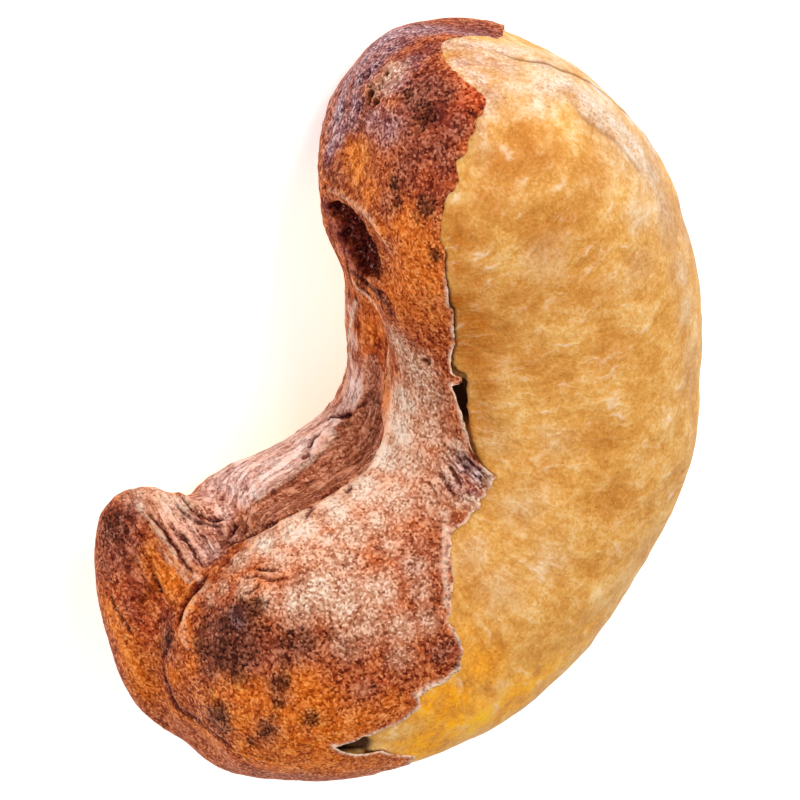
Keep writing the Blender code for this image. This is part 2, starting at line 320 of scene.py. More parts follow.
def near_line(points, line, reach):
    """Distance from a line of 3-D points, the side of it and the share along it.

    The side is 1 on the left of one who goes along the line as the camera sees it, and
    -1 on the right. Points past the reach have a distance of infinity."""
    far = np.full(len(points), np.inf)
    side, share = np.ones(len(points)), np.zeros(len(points))
    low, high = line.min(axis=0) - reach, line.max(axis=0) + reach
    near = np.flatnonzero(np.all((points > low) & (points < high), axis=1))
    runs = np.linalg.norm(np.diff(line, axis=0), axis=1)
    starts = np.concatenate([[0.0], np.cumsum(runs)])
    for a, b, start in zip(line, line[1:], starts):
        way = b - a
        out = points[near] - a
        along = np.clip(out @ way / (way @ way), 0, 1)
        gap = np.linalg.norm(out - along[:, None] * way, axis=1)
        closer = gap < far[near]
        hit = near[closer]
        far[hit] = gap[closer]
        side[hit] = np.sign(np.cross(way, out[closer]) @ np.array(VIEW_BACK))
        share[hit] = (start + along[closer] * np.linalg.norm(way)) / starts[-1]
    far[far > reach] = np.inf
    return far, side, share


# The photograph's view, and the places on the nut that its pixels show.


def sight(pixel):
    """The direction in which the camera sees a pixel."""
    right = float(pixel[0] - AIM_PIXEL[0]) * PIXEL
    up = float(AIM_PIXEL[1] - pixel[1]) * PIXEL
    return (AIM + right * VIEW_RIGHT + up * VIEW_UP - EYE).normalized()


class SeenNut:
    """The nut's form as the camera sees it: turns pixels into places on the nut.

    With a lift, the camera sees a coat that stands so many mm off the form."""

    def __init__(self, lift=0.0, step=0.3):
        self.distance = even_distances(step)
        self.angle = np.radians(np.arange(0, 361, 3.0))
        self.points = form(*np.meshgrid(self.distance, self.angle, indexing="ij"))
        self.faces = grid_faces(len(self.distance), len(self.angle))
        self.flat = self.points.reshape(-1, 3)
        normals = vertex_normals(self.flat, self.faces)
        normals *= np.sign(np.sum(normals * (self.flat - self.flat.mean(axis=0))))
        self.seen = self.flat + lift * normals
        self.tree = BVHTree.FromPolygons(self.seen.tolist(), self.faces.tolist())

    def hit(self, pixel):
        """The seen point, and its distance along the nut and angle round it."""
        toward = sight(pixel)
        place, _, face, _ = self.tree.ray_cast(EYE, toward)
        if face is None:
            place, _, face, _ = self.tree.find_nearest(EYE + toward * CAMERA_DISTANCE)
        corners = self.faces[face]
        a, b, c = self.seen[corners]
        sides = np.stack([b - a, c - a], axis=1)
        u, v = np.linalg.lstsq(sides, np.array(place) - a, rcond=None)[0]
        rows, columns = np.divmod(corners, len(self.angle))
        weights = np.array([1 - u - v, u, v])
        place = weights @ self.flat[corners]
        return place, self.distance[rows] @ weights, self.angle[columns] @ weights

    def line(self, pixels, spacing=0.15):
        """A smooth 3-D line on the nut under a row of pixels."""
        count = max(2, round(sum(map(math.dist, pixels, pixels[1:])) * PIXEL / spacing))
        smooth = smooth_rows(pixels, np.linspace(0, len(pixels) - 1, count))
        return np.array([self.hit(pixel)[0] for pixel in smooth])

    def spot(self, pixel):
        return self.hit(pixel)[0]


def seen_pixels(points):
    """The pixels that the camera sees points at."""
    out = points - np.array(EYE)
    scale = CAMERA_DISTANCE / (out @ -np.array(VIEW_BACK)) / PIXEL
    x = PHOTO_SIDE / 2 + out @ np.array(VIEW_RIGHT) * scale
    return np.stack([x, PHOTO_SIDE / 2 - out @ np.array(VIEW_UP) * scale], axis=-1)


def seam_turn(distance, nut):
    """The angle of the seam on the back: as the photograph shows it, else in the middle."""
    seen = np.array([nut.hit(pixel)[1:] for pixel in SEAM_SEEN])
    s, a = seen[np.argsort(seen[:, 0])].T
    a = (a + math.pi) % (2 * math.pi) - math.pi
    return np.interp(distance, [s[0] - 2.0, *s, s[-1] + 5.0], [0.0, *a, 0.0])


def outline_touches(points, nut):
    """How far the surface moves out or in to meet the photograph's outline."""
    push = np.zeros(len(points))
    for x, y, radius, height in OUTLINE_TOUCHES:
        gap = np.linalg.norm(points - nut.spot((x, y)), axis=1)
        push += height * np.exp(-((gap / radius) ** 2))
    return push


def tear_outline(nut):
    """The closed tear, as distance along the nut and mm round it."""
    seen = [nut.hit(pixel)[1:] for pixel in TEAR_SEEN]
    seen = [(s, (a + math.pi) % (2 * math.pi) - math.pi) for s, a in seen]
    hidden = [(s, math.radians(degrees)) for s, degrees in TEAR_HIDDEN]
    return np.array(seen + hidden) * (1.0, GIRTH_RADIUS)


def inside(points, outline):
    """Whether each point is inside the closed outline, by counting crossings."""
    held = np.zeros(len(points), bool)
    x, y = points.T
    for (x0, y0), (x1, y1) in zip(outline, np.roll(outline, -1, axis=0)):
        if y0 == y1:
            continue
        crosses = (y0 > y) != (y1 > y)
        held ^= crosses & (x < (x1 - x0) * (y - y0) / (y1 - y0) + x0)
    return held


def from_tear(distance, angle, outline):
    """How far each point lies from the tear, in mm, below zero in the bare window."""
    turned = (angle + math.pi) % (2 * math.pi) - math.pi
    return from_outline(np.stack([distance, turned * GIRTH_RADIUS], axis=-1), outline)


def from_outline(places, outline):
    """How far each place lies from a closed outline, below zero inside it."""
    best = np.full(len(places), np.inf)
    for a, b in zip(outline, np.roll(outline, -1, axis=0)):
        share = np.clip(((places - a) @ (b - a)) / ((b - a) @ (b - a)), 0, 1)
        best = np.minimum(best, np.linalg.norm(places - a - share[:, None] * (b - a), axis=1))
    return np.where(inside(places, outline), -best, best)


def ragged(distance, angle, outline):
    """The distance from the tear, with the small teeth of torn paper."""
    points = form(distance, angle)
    teeth = TOOTH * rough_noise(points, 0.55, 11) + FINE_TOOTH * noise(points, 0.16, 17)
    return from_tear(distance, angle, outline) + teeth


# Meshes.


def vertex_normals(points, faces):
    """Unit normals of the points, from the triangles round each, weighted by area."""
    a, b, c = (points[faces[:, i]] for i in range(3))
    face_normals = np.cross(b - a, c - a)
    normals = np.zeros_like(points)
    for i in range(3):
        np.add.at(normals, faces[:, i], face_normals)
    return normals / (np.linalg.norm(normals, axis=1, keepdims=True) + 1e-12)


def make_mesh(name, points, faces, fields, flow, finish):
    """A smooth-shaded object with its fields and its flow as attributes."""
    mesh = bpy.data.meshes.new(name)
    mesh.vertices.add(len(points))
    mesh.vertices.foreach_set("co", (points * MM).astype(np.float32).ravel())
    mesh.loops.add(3 * len(faces))
    mesh.loops.foreach_set("vertex_index", faces.astype(np.int32).ravel())
    mesh.polygons.add(len(faces))
    mesh.polygons.foreach_set("loop_start", np.arange(0, 3 * len(faces), 3, dtype=np.int32))
    mesh.update(calc_edges=True)
    for field, values in fields.items():
        layer = mesh.attributes.new(field, "FLOAT", "POINT")
        layer.data.foreach_set("value", values.astype(np.float32))
    layer = mesh.attributes.new("flow", "FLOAT_VECTOR", "POINT")
    layer.data.foreach_set("vector", flow.astype(np.float32).ravel())
    mesh.materials.append(finish)
    mesh.shade_smooth()
    made = bpy.data.objects.new(name, mesh)
    bpy.context.scene.collection.objects.link(made)
    return made


def flow_of(distance, angle):
    """The place on the nut unrolled to a straight one, for marks that run along it."""
    girth = GIRTH_RADIUS * fullness(distance)
    return np.stack([distance, girth * np.cos(angle), girth * np.sin(angle)], axis=-1)


def grid_faces(rows, wide):
    """Two triangles for each cell of a grid."""
    corner = (np.arange(rows - 1)[:, None] * wide + np.arange(wide - 1)).ravel()
    first = np.stack([corner, corner + wide, corner + wide + 1], axis=1)
    second = np.stack([corner, corner + wide + 1, corner + 1], axis=1)
    return np.vstack([first, second])


# The seed halves.


def kernel_grain(points, distance, field):
    """The bare kernel's dents and grain, deepest in its middle, and their painted light and shade."""
    dents = rough_noise(points, 1.5, 3)
    dimples = noise(points, 0.75, 6)
    middle = smooth_step(4.0, 9.0, distance) * smooth_step(LENGTH - 2.0, LENGTH - 8.0, distance)
    relief = SWELL * noise(points, 3.2, 4) + (DENT + DENT_MORE * middle) * dents
    relief += (DIMPLE + DIMPLE_MORE * middle) * dimples
    relief += COARSE_GRAIN * noise(points, 0.42, 5) + FINE_GRAIN * noise(points, 0.2, 8)
    return relief * smooth_step(0.1, -0.6, field), 0.5 + 0.55 * dents + 0.3 * dimples


def loose_flake(points, nut):
    """The pale flake near the blunt end: its share, how far it stands up, and its edge's painted
    shadow.
    """
    gap, side, share = near_line(points, nut.line(FLAKE_EDGE), 3.0)
    ends = smooth_step(0, 0.1, share) * smooth_step(0, 0.3, 1 - share)
    above = np.where(side < 0, smooth_step(-0.02, 0.08, gap), 0.0) * smooth_step(2.4, 0.9, gap)
    gap = np.minimum(gap, FAR)
    rise = FLAKE_RISE * ends * above * np.exp(-gap / 0.9)
    return above * ends, rise, ends * np.exp(-((gap / 0.08) ** 2))


def dark_openings(points, field, nut):
    """Where the kernel draws back from the coat, beside the flap and in the slit, painted dark as their
    shade.
    """
    gap, side, share = near_line(points, nut.line(FLAP_SHADOW), 1.0)
    ends = smooth_step(0.0, 0.06, share) * smooth_step(0.0, 0.3, 1 - share)
    hole = np.where(side < 0, smooth_step(0.05, 0.12, gap), 0.0) * ends
    hole = np.where(np.isfinite(gap), hole, 0.0) * smooth_step(0.9, 0.5, field)
    gap, _, _ = near_line(points, nut.line(SLIT), 1.2)
    return hole, np.exp(-((gap / SLIT_HALF_WIDTH) ** 6))


def kernel_relief(points, distance, from_seam, field, nut):
    """How far the bare kernel stands off its form, and its colour fields."""
    to_seam = np.abs(np.sin(from_seam)) * GIRTH_RADIUS
    to_seam = np.where(np.cos(from_seam) > 0, to_seam, FAR)
    seam_line = np.exp(-((to_seam / SEAM_HALF_WIDTH) ** 2)) * smooth_step(1.6, 2.2, distance)
    relief, dents = kernel_grain(points, distance, field)
    flake, rise, flake_edge_shadow = loose_flake(points, nut)
    relief += rise
    relief += outline_touches(points, nut) - SEAM_DEPTH * seam_line
    hole, slit = dark_openings(points, field, nut)
    relief += WELT * np.exp(-((field / 0.12) ** 2)) - HOLE_DEPTH * hole - SLIT_DEPTH * slit
    covered = smooth_step(-0.02, 0.35, field)
    relief -= (SKIN_THICKNESS + SKIN_CLEARANCE) * covered + SUNK * smooth_step(0.7, 2.2, field)
    beside, _, _ = near_line(points, nut.line(EDGE_SHADE), 1.0)
    beside = smooth_step(0.6, 0.3, beside) * np.exp(-((field / 0.1) ** 2))
    seam_line *= smooth_step(-1.5, -0.4, noise(points, 1.3, 9))
    fields = {
        # Painted shade: the openings and a strip beside the coat's lifted edge are painted dark.
        "scorch_and_shade": np.clip(hole + slit + 0.85 * beside, 0, 1),
        # seam: the brown seam line, and at half strength a painted shadow along the flake's edge.
        "seam": np.maximum(seam_line, 0.5 * flake_edge_shadow),
        "frost": np.maximum(patches(points, FROSTED, nut, 23), 0.85 * flake),
        "cream": patches(points, CREAM, nut, 25),
        "film": patches(points, FILM, nut, 27),
        "ochre": patches(points, OCHRE, nut, 29),
        "orange": patches(points, ORANGE_BASE, nut, 31),
        # dents: tone lighter on the dents' rises and darker in their hollows, painted light and shade.
        "dents": dents,
    }
    return relief, fields


def half_grid(side, nut):
    """Places on one half's outer side, as distance and angle, its rows, how wide they
    are, and its triangles. The last two places are the half's ends."""
    distance = even_distances(KERNEL_STEP)[1:-1]
    rows, wide = len(distance), round(math.pi * GIRTH_RADIUS * 1.05 / KERNEL_STEP)
    seam, hollow = seam_turn(distance, nut), np.full(rows, math.pi)
    start, end = (seam, hollow) if side > 0 else (hollow, 2 * math.pi + seam)
    angle = start[:, None] + np.linspace(0, 1, wide) * (end - start)[:, None]
    s = np.append(np.repeat(distance, wide), [0.0, LENGTH])
    a = np.append(angle, [math.pi * (1 - side / 2)] * 2)
    first, last = rows * wide, rows * wide + 1
    ring = np.arange(wide)
    end_ring = first - wide + ring
    faces = [grid_faces(rows, wide)]
    faces.append(np.stack([np.full(wide - 1, first), ring[:-1], ring[1:]], axis=1))
    faces.append(np.stack([np.full(wide - 1, last), end_ring[1:], end_ring[:-1]], axis=1))
    return s, a, rows, wide, np.vstack(faces)


def flat_side(rows, wide):
    """The triangles that close a half along the seam."""
    first, last = rows * wide, rows * wide + 1
    left = np.arange(rows) * wide
    right = left + wide - 1
    faces = [np.stack([left[:-1], right[:-1], right[1:]], axis=1)]
    faces.append(np.stack([left[:-1], right[1:], left[1:]], axis=1))
    faces.append(np.array([[first, right[0], left[0]], [last, left[-1], right[-1]]]))
    return np.vstack(faces)


def seed_half(name, side, nut, outline, box, finish):
    """One half of the seed: side is 1 above the seam and -1 below it."""
    s, a, rows, wide, outer = half_grid(side, nut)
    points = form(s, a)
    normals = vertex_normals(points, outer)
    normals *= np.sign(np.sum(normals * (points - points.mean(axis=0)), axis=1).sum())
    field = ragged(s, a, outline)
    relief, fields = kernel_relief(points, s, a - seam_turn(s, nut), field, nut)
    points = np.clip(points + relief[:, None] * normals, *box)
    faces = outward_faces(points, np.vstack([outer, flat_side(rows, wide)]))
    flow = np.stack([s, a * GIRTH_RADIUS, np.zeros(len(s))], axis=-1)
    return make_mesh(name, points, faces, fields, flow, finish)


def outward_faces(points, faces):
    """The faces of a closed mesh, turned over if its volume comes out negative."""
    a, b, c = (points[faces[:, i]] for i in range(3))
    volume = np.einsum("ij,ij->i", a, np.cross(b, c)).sum()
    return faces if volume > 0 else faces[:, ::-1]


# The bare kernel's relief, in mm: its swells, its dents and dimples with what its middle
# has more of, its grain, the flake, the seam, the welt along the tear, the openings, and
# how far it is sunk deep under the coat.
SWELL = 0.05
DENT, DENT_MORE = 0.03, 0.05
DIMPLE, DIMPLE_MORE = 0.015, 0.025
COARSE_GRAIN, FINE_GRAIN = 0.018, 0.005
FLAKE_RISE = 0.05
SEAM_DEPTH, SEAM_HALF_WIDTH = 0.05, 0.085
WELT = 0.05
HOLE_DEPTH, SLIT_DEPTH, SLIT_HALF_WIDTH = 0.35, 0.25, 0.5
SUNK = 0.9

# How far a patch's outline wavers, in mm, and where it ends and is full, in its radii.
PATCH_WAVER = 0.16
PATCH_EDGE, PATCH_CORE = 1.55, 0.15

# Marks on the bare kernel: lines as pixels, and patches as pixel, radius in mm, strength.
FLAKE_EDGE = (
    (644, 178), (636, 168), (628, 158), (616, 143), (607, 135), (594, 126), (583, 118),
    (576, 108), (569, 98), (560, 91), (549, 85),
)
FLAP_SHADOW = (
    (465, 376), (467, 380), (468, 387), (467, 394), (468, 402), (468, 410), (470, 418), (471, 426),
    (472, 433),
)
FLAP = ((456, 382), (461, 393), (465, 406), (469, 420), (472, 434), (477, 449))
# The slit is painted dark inside: painted shade, with some scorch.
SLIT = ((310, 750), (330, 751), (346, 751), (358, 748))
EDGE_SHADE = (
    (449, 262), (450, 278), (453, 292), (454, 303), (459, 313), (458, 327), (459, 341), (456, 355),
    (460, 367),
)
FROSTED = (
    (520, 72, 0.6, 0.5), (545, 85, 0.8, 1.0), (565, 84, 0.7, 1.0), (588, 102, 0.7, 1.0),
    (610, 120, 0.7, 1.0), (633, 145, 0.7, 1.0), (650, 172, 0.6, 0.8), (540, 105, 0.5, 0.5),
    (662, 200, 0.5, 0.5), (600, 92, 0.6, 0.9), (626, 116, 0.6, 0.9), (648, 146, 0.6, 0.8),
    (520, 50, 0.5, 0.7), (545, 66, 0.5, 0.7),
)
# Cream: the flesh's own paler patches, and a painted highlight along the top and the right side.
CREAM = (
    (500, 60, 1.2, 0.8), (545, 60, 1.2, 0.9), (490, 100, 0.8, 0.8), (515, 95, 0.8, 0.8),
    (600, 110, 1.4, 0.9), (650, 170, 1.3, 1.0), (668, 220, 1.1, 0.9), (680, 270, 0.8, 0.8),
    (686, 310, 0.7, 0.7), (690, 350, 0.6, 0.5), (620, 150, 1.0, 0.7), (640, 210, 0.8, 0.7),
    (548, 260, 0.8, 0.4), (520, 510, 0.8, 0.5), (500, 590, 0.8, 0.5), (470, 560, 0.7, 0.5),
    (550, 560, 0.9, 0.4), (640, 270, 0.8, 0.4), (480, 150, 0.5, 0.5), (560, 440, 0.6, 0.4),
    (500, 440, 0.6, 0.4), (690, 380, 0.7, 0.4), (530, 44, 1.0, 0.9), (560, 56, 1.1, 1.0),
    (586, 68, 1.2, 1.0), (612, 88, 1.2, 1.0), (636, 114, 1.2, 1.0), (656, 144, 1.2, 1.0),
    (672, 180, 1.1, 1.0), (684, 220, 1.0, 0.9),
)
FILM = (
    (448, 44, 0.6, 1.0), (468, 46, 0.7, 1.0), (490, 46, 0.6, 1.0), (460, 62, 0.6, 1.0),
    (476, 78, 0.6, 0.9), (498, 62, 0.6, 0.7), (490, 94, 0.5, 0.8), (504, 82, 0.5, 0.5),
    (482, 60, 0.6, 0.9), (486, 110, 0.35, 0.6), (480, 128, 0.3, 0.5),
)
# Ochre: darker, mostly painted shade on the side next to the tear, away from the key light.
OCHRE = (
    (525, 135, 0.8, 0.8), (505, 165, 0.9, 0.8), (495, 200, 0.9, 0.7), (545, 160, 0.8, 0.6),
    (590, 175, 0.9, 0.6), (565, 215, 0.9, 0.6), (530, 215, 0.7, 0.5), (480, 240, 0.7, 0.5),
    (470, 300, 0.8, 0.9), (466, 340, 0.8, 1.0), (480, 365, 0.8, 0.9), (500, 330, 0.7, 0.6),
    (458, 270, 0.6, 1.0), (472, 320, 0.9, 1.0), (464, 240, 0.6, 0.9), (452, 300, 0.5, 1.0),
    (475, 280, 0.8, 0.8), (490, 350, 0.8, 0.8), (478, 420, 0.6, 0.6), (520, 300, 0.9, 0.6),
    (570, 290, 0.9, 0.6), (545, 240, 0.8, 0.6), (530, 360, 0.8, 0.6), (610, 350, 0.9, 0.5),
    (455, 215, 0.5, 0.8), (478, 345, 0.8, 1.0), (484, 385, 0.6, 0.9),
    (600, 300, 0.9, 0.4), (590, 250, 0.7, 0.5), (480, 400, 0.6, 0.6), (560, 380, 0.8, 0.4),
    (600, 430, 0.8, 0.4), (540, 470, 0.8, 0.4), (480, 540, 0.4, 0.4), (620, 500, 0.8, 0.4),
)
# Deep orange at the bottom: partly the roast's own colour, partly painted warm light from below.
ORANGE_BASE = (
    (425, 742, 1.1, 1.0), (450, 725, 1.2, 1.0), (480, 715, 1.3, 1.0), (515, 695, 1.2, 1.0),
    (450, 700, 1.0, 1.0), (550, 670, 1.0, 0.7), (590, 635, 0.9, 0.4), (480, 670, 1.0, 0.7),
    (430, 705, 0.8, 1.0), (465, 640, 0.7, 0.4), (400, 745, 0.5, 0.8),
)


def patches(points, places, nut, seed):
    """How much each point lies in a group of patches with ragged outlines, from 0 to 1."""
    pulls = [noise(points, 0.9, seed + i) + 0.5 * noise(points, 0.35, seed + 3 + i) for i in range(3)]
    warped = points + PATCH_WAVER * np.stack(pulls, axis=1)
    held = np.zeros(len(points))
    for x, y, radius, strength in places:
        gap = np.linalg.norm(warped - nut.spot((x, y)), axis=1) / radius
        held = np.maximum(held, strength * smooth_step(PATCH_EDGE, PATCH_CORE, gap))
    return held


# The torn seed coat. Each crease is a row of pixels with its half width, its depth and
# the height of the lips beside it, in mm.
CREASES = (
    (((211, 570), (203, 578), (195, 588), (187, 598), (181, 609), (178, 620),
      (174, 630)), 0.13, 0.2, 0.03),
    (((176, 622), (170, 634), (165, 648), (161, 662), (166, 690), (176, 712), (200, 729),
      (226, 746), (246, 762)), 0.17, 0.1, 0.0),
    (((138, 501), (147, 512), (159, 526), (168, 539), (176, 549), (183, 561), (192, 572),
      (198, 578)), 0.07, 0.1, 0.05),
    (((168, 488), (176, 496), (186, 506), (198, 515), (213, 520), (232, 517)), 0.085, 0.15, 0.06),
    (((168, 499), (178, 509), (188, 517), (200, 523), (216, 526), (230, 527)), 0.07, 0.07, 0.04),
    (((164, 512), (171, 527), (182, 539), (191, 547), (198, 557), (206, 571)), 0.065, 0.06, 0.05),
    (((178, 527), (184, 536), (190, 546), (199, 561)), 0.07, 0.06, 0.04),
    (((200, 530), (206, 542), (212, 556)), 0.07, 0.05, 0.04),
    (((236, 522), (233, 530), (229, 538)), 0.09, 0.17, 0.03),
    (((222, 548), (240, 541), (256, 534), (268, 526), (284, 519)), 0.085, 0.11, 0.06),
    (((276, 521), (290, 514), (304, 508), (316, 506)), 0.07, 0.07, 0.05),
    (((318, 499), (330, 492), (343, 485), (350, 481)), 0.085, 0.11, 0.05),
    (((345, 495), (350, 491), (354, 487)), 0.08, 0.13, 0.03),
    (((305, 523), (312, 511), (318, 507)), 0.08, 0.09, 0.03),
    (((253, 568), (262, 569), (270, 570), (279, 569)), 0.075, 0.11, 0.03),
    (((236, 572), (248, 577), (260, 575), (270, 580), (300, 577)), 0.07, 0.05, 0.05),
    (((238, 595), (252, 590), (264, 583)), 0.07, 0.04, 0.05),
    (((321, 437), (316, 441), (311, 448), (308, 452)), 0.09, 0.18, 0.05),
    (((312, 456), (307, 459), (302, 463)), 0.09, 0.17, 0.04),
    (((327, 425), (331, 418), (342, 416), (355, 412)), 0.08, 0.15, 0.06),
    (((354, 412), (364, 402), (372, 390)), 0.08, 0.06, 0.05),
    (((377, 422), (381, 417), (383, 412)), 0.09, 0.17, 0.02),
    (((344, 264), (352, 272), (359, 278), (366, 285), (373, 291), (380, 295), (386, 301),
      (392, 309), (396, 317), (398, 325)), 0.08, 0.08, 0.02),
    (((107, 588), (116, 608), (126, 626), (136, 640)), 0.08, 0.06, 0.05),
    (((151, 572), (158, 583), (164, 595)), 0.07, 0.08, 0.02),
    (((238, 752), (256, 757), (276, 762)), 0.06, 0.04, 0.03),
    (((196, 712), (212, 736), (232, 755), (250, 768)), 0.07, 0.04, 0.03),
    (((452, 446), (462, 461), (473, 477)), 0.08, 0.06, 0.05),
    (((462, 448), (470, 460), (482, 473)), 0.08, 0.06, 0.05),
    (((446, 462), (454, 474), (463, 490)), 0.075, 0.07, 0.05),
    (((468, 440), (475, 453), (487, 468)), 0.07, 0.09, 0.04),
    (((436, 470), (446, 482), (453, 499)), 0.07, 0.05, 0.04),
    (((426, 478), (434, 492), (440, 508)), 0.07, 0.04, 0.04),
)
# Folds stand up from the skin: pixels, half width and height in mm.
FOLDS = (
    (((137, 505), (148, 519), (158, 533), (168, 547), (180, 561), (192, 573), (200, 580)), 0.09, 0.16),
    (((160, 548), (170, 560), (182, 572), (190, 582)), 0.08, 0.07),
    (((328, 190), (340, 194), (352, 200), (362, 210), (371, 222), (378, 238), (384, 254),
      (388, 268)), 0.1, 0.1),
    (((206, 585), (194, 600), (184, 617), (181, 632), (185, 650)), 0.16, 0.08),
    (((103, 596), (110, 616), (119, 638), (131, 664), (146, 692)), 0.13, 0.09),
    (((112, 594), (119, 614), (129, 638), (142, 664)), 0.09, 0.05),
    (((186, 690), (205, 704), (228, 713), (250, 716)), 0.12, 0.06),
    (((338, 750), (356, 754), (380, 750), (395, 754), (411, 754)), 0.09, 0.06),
    (((330, 560), (348, 550), (362, 556)), 0.08, 0.05),
)
# Steps have their left side raised: pixels, rise, width of the slope and reach, in mm.
STEPS = (
    (((250, 502), (262, 495), (273, 487), (285, 480), (296, 472), (308, 463), (318, 453),
      (327, 444), (334, 434), (333, 427)), 0.16, 0.08, 0.8),
    (((386, 338), (386, 352), (384, 372), (380, 392), (383, 416), (384, 434), (377, 453),
      (366, 469), (350, 483), (330, 496), (310, 507), (283, 521), (260, 534),
      (242, 542)), 0.16, 0.25, 1.2),
)
# The recess beside the neck, as its outline in pixels, and its depth, the width of its
# walls and how far from its middle it may reach, in mm.
# The recess is painted dark inside as its shade, with painted glints.
RECESS = np.array([
    (326, 203), (337, 200), (346, 203), (355, 209), (363, 218), (370, 230), (377, 243), (383, 256),
    (387, 268), (384, 278), (375, 281), (365, 277), (356, 269), (350, 257), (345, 245), (340, 232),
    (335, 220), (328, 211),
])
RECESS_DEPTH, RECESS_WALL, RECESS_REACH = 0.45, 0.16, 3.0
# The crease that runs down from the recess, where it is seen, painted dark as its shade.
NECK_CREASE = (
    (346, 268), (353, 273), (361, 279), (370, 286), (379, 294), (387, 304), (392, 313), (396, 326),
)
NECK_REACH = 1.3
# The valley between the two ends, brown partly as painted shade: the edge above it, with a
# painted highlight and a painted shadow at its foot, its outline and its middle line in
# pixels, and how far from that line it may reach, in mm.
VALLEY_EDGE = (
    (250, 502), (262, 495), (273, 487), (285, 480), (296, 472), (308, 463), (318, 453), (327, 444),
    (334, 434), (333, 427),
)
VALLEY = np.array([
    *VALLEY_EDGE, (342, 420), (353, 409), (359, 394), (363, 374), (366, 354), (378, 352), (384, 372),
    (381, 396), (383, 416), (384, 434), (377, 452), (366, 469), (350, 483), (330, 496), (310, 507),
    (283, 521), (260, 534), (243, 542), (238, 528), (238, 512),
])
VALLEY_MIDDLE = (
    (373, 352), (374, 378), (372, 404), (364, 430), (348, 452), (324, 472), (297, 490), (268, 508),
    (246, 524),
)
VALLEY_REACH = 1.9
# What the valley shows of each of the coat's zones; its umber is partly painted shade.
VALLEY_ZONES = {"umber": 0.6, "lilac": 0.0, "pink": 0.0, "amber": 0.1, "dust_and_highlight": 0.14}
# Small round pits, as pixel, radius in mm and strength.
PITS = (
    (343, 107, 0.22, 1.0), (369, 94, 0.2, 1.0), (367, 72, 0.14, 1.0), (360, 79, 0.14, 1.0),
    (376, 63, 0.12, 1.0), (339, 94, 0.12, 1.0), (348, 91, 0.12, 1.0), (332, 125, 0.14, 1.0),
    (328, 141, 0.13, 1.0), (333, 147, 0.12, 1.0), (325, 134, 0.11, 1.0), (362, 99, 0.15, 1.0),
    (374, 104, 0.12, 1.0), (352, 84, 0.1, 1.0), (335, 116, 0.12, 1.0), (357, 108, 0.1, 1.0),
    (424, 361, 0.12, 1.0), (434, 593, 0.1, 1.0), (438, 604, 0.11, 1.0), (384, 71, 0.1, 1.0),
)
# Patches of the coat's zones, as pixel, radius in mm and strength.
SCORCHED = (
    (426, 117, 0.5, 1.0), (420, 104, 0.35, 0.7), (408, 94, 0.3, 0.9), (414, 80, 0.4, 0.4),
    (393, 186, 0.42, 1.0), (395, 201, 0.32, 0.8), (425, 206, 0.42, 0.9), (415, 216, 0.3, 0.6),
    (459, 159, 0.15, 1.0), (470, 114, 0.14, 0.8), (434, 255, 0.26, 0.9), (343, 106, 0.3, 0.9),
    (368, 95, 0.32, 0.9), (114, 522, 0.6, 0.7), (125, 536, 0.4, 0.5), (105, 546, 0.3, 0.5),
    (168, 636, 0.36, 0.9), (160, 650, 0.3, 0.7), (242, 614, 0.75, 1.0), (226, 626, 0.6, 1.0),
    (256, 606, 0.45, 1.0), (221, 656, 0.6, 1.0), (236, 660, 0.6, 0.9), (204, 648, 0.5, 0.8),
    (250, 650, 0.55, 0.8), (238, 676, 0.5, 0.8), (205, 625, 0.5, 0.7), (281, 680, 0.44, 1.0),
    (244, 632, 0.5, 0.8), (212, 664, 0.45, 0.7), (262, 634, 0.45, 0.6), (226, 646, 0.5, 0.9),
    (280, 700, 0.3, 0.9), (284, 660, 0.4, 0.6), (308, 640, 0.5, 0.7), (290, 640, 0.45, 0.7),
    (330, 632, 0.4, 0.5), (346, 650, 0.4, 0.45), (219, 714, 0.5, 0.9), (226, 730, 0.35, 0.7),
    (268, 729, 0.4, 0.9), (274, 714, 0.3, 0.7), (313, 716, 0.36, 0.8), (326, 723, 0.3, 0.5),
    (253, 744, 0.3, 0.8), (206, 695, 0.35, 0.5), (386, 656, 0.3, 0.3), (360, 666, 0.35, 0.35),
    (379, 686, 0.28, 0.6), (452, 640, 0.28, 0.6), (440, 655, 0.3, 0.6), (456, 664, 0.2, 0.7),
    # From (352, 278) on, the patches along the neck's crease are painted shade.
    (383, 417, 0.15, 0.8), (466, 466, 0.25, 0.7), (478, 472, 0.2, 0.7), (352, 278, 0.13, 0.9),
    (358, 284, 0.13, 0.9), (364, 290, 0.13, 0.9), (371, 295, 0.13, 0.9), (378, 301, 0.13, 0.9),
    (384, 308, 0.12, 0.9), (389, 316, 0.12, 0.9), (393, 324, 0.1, 0.7),
)
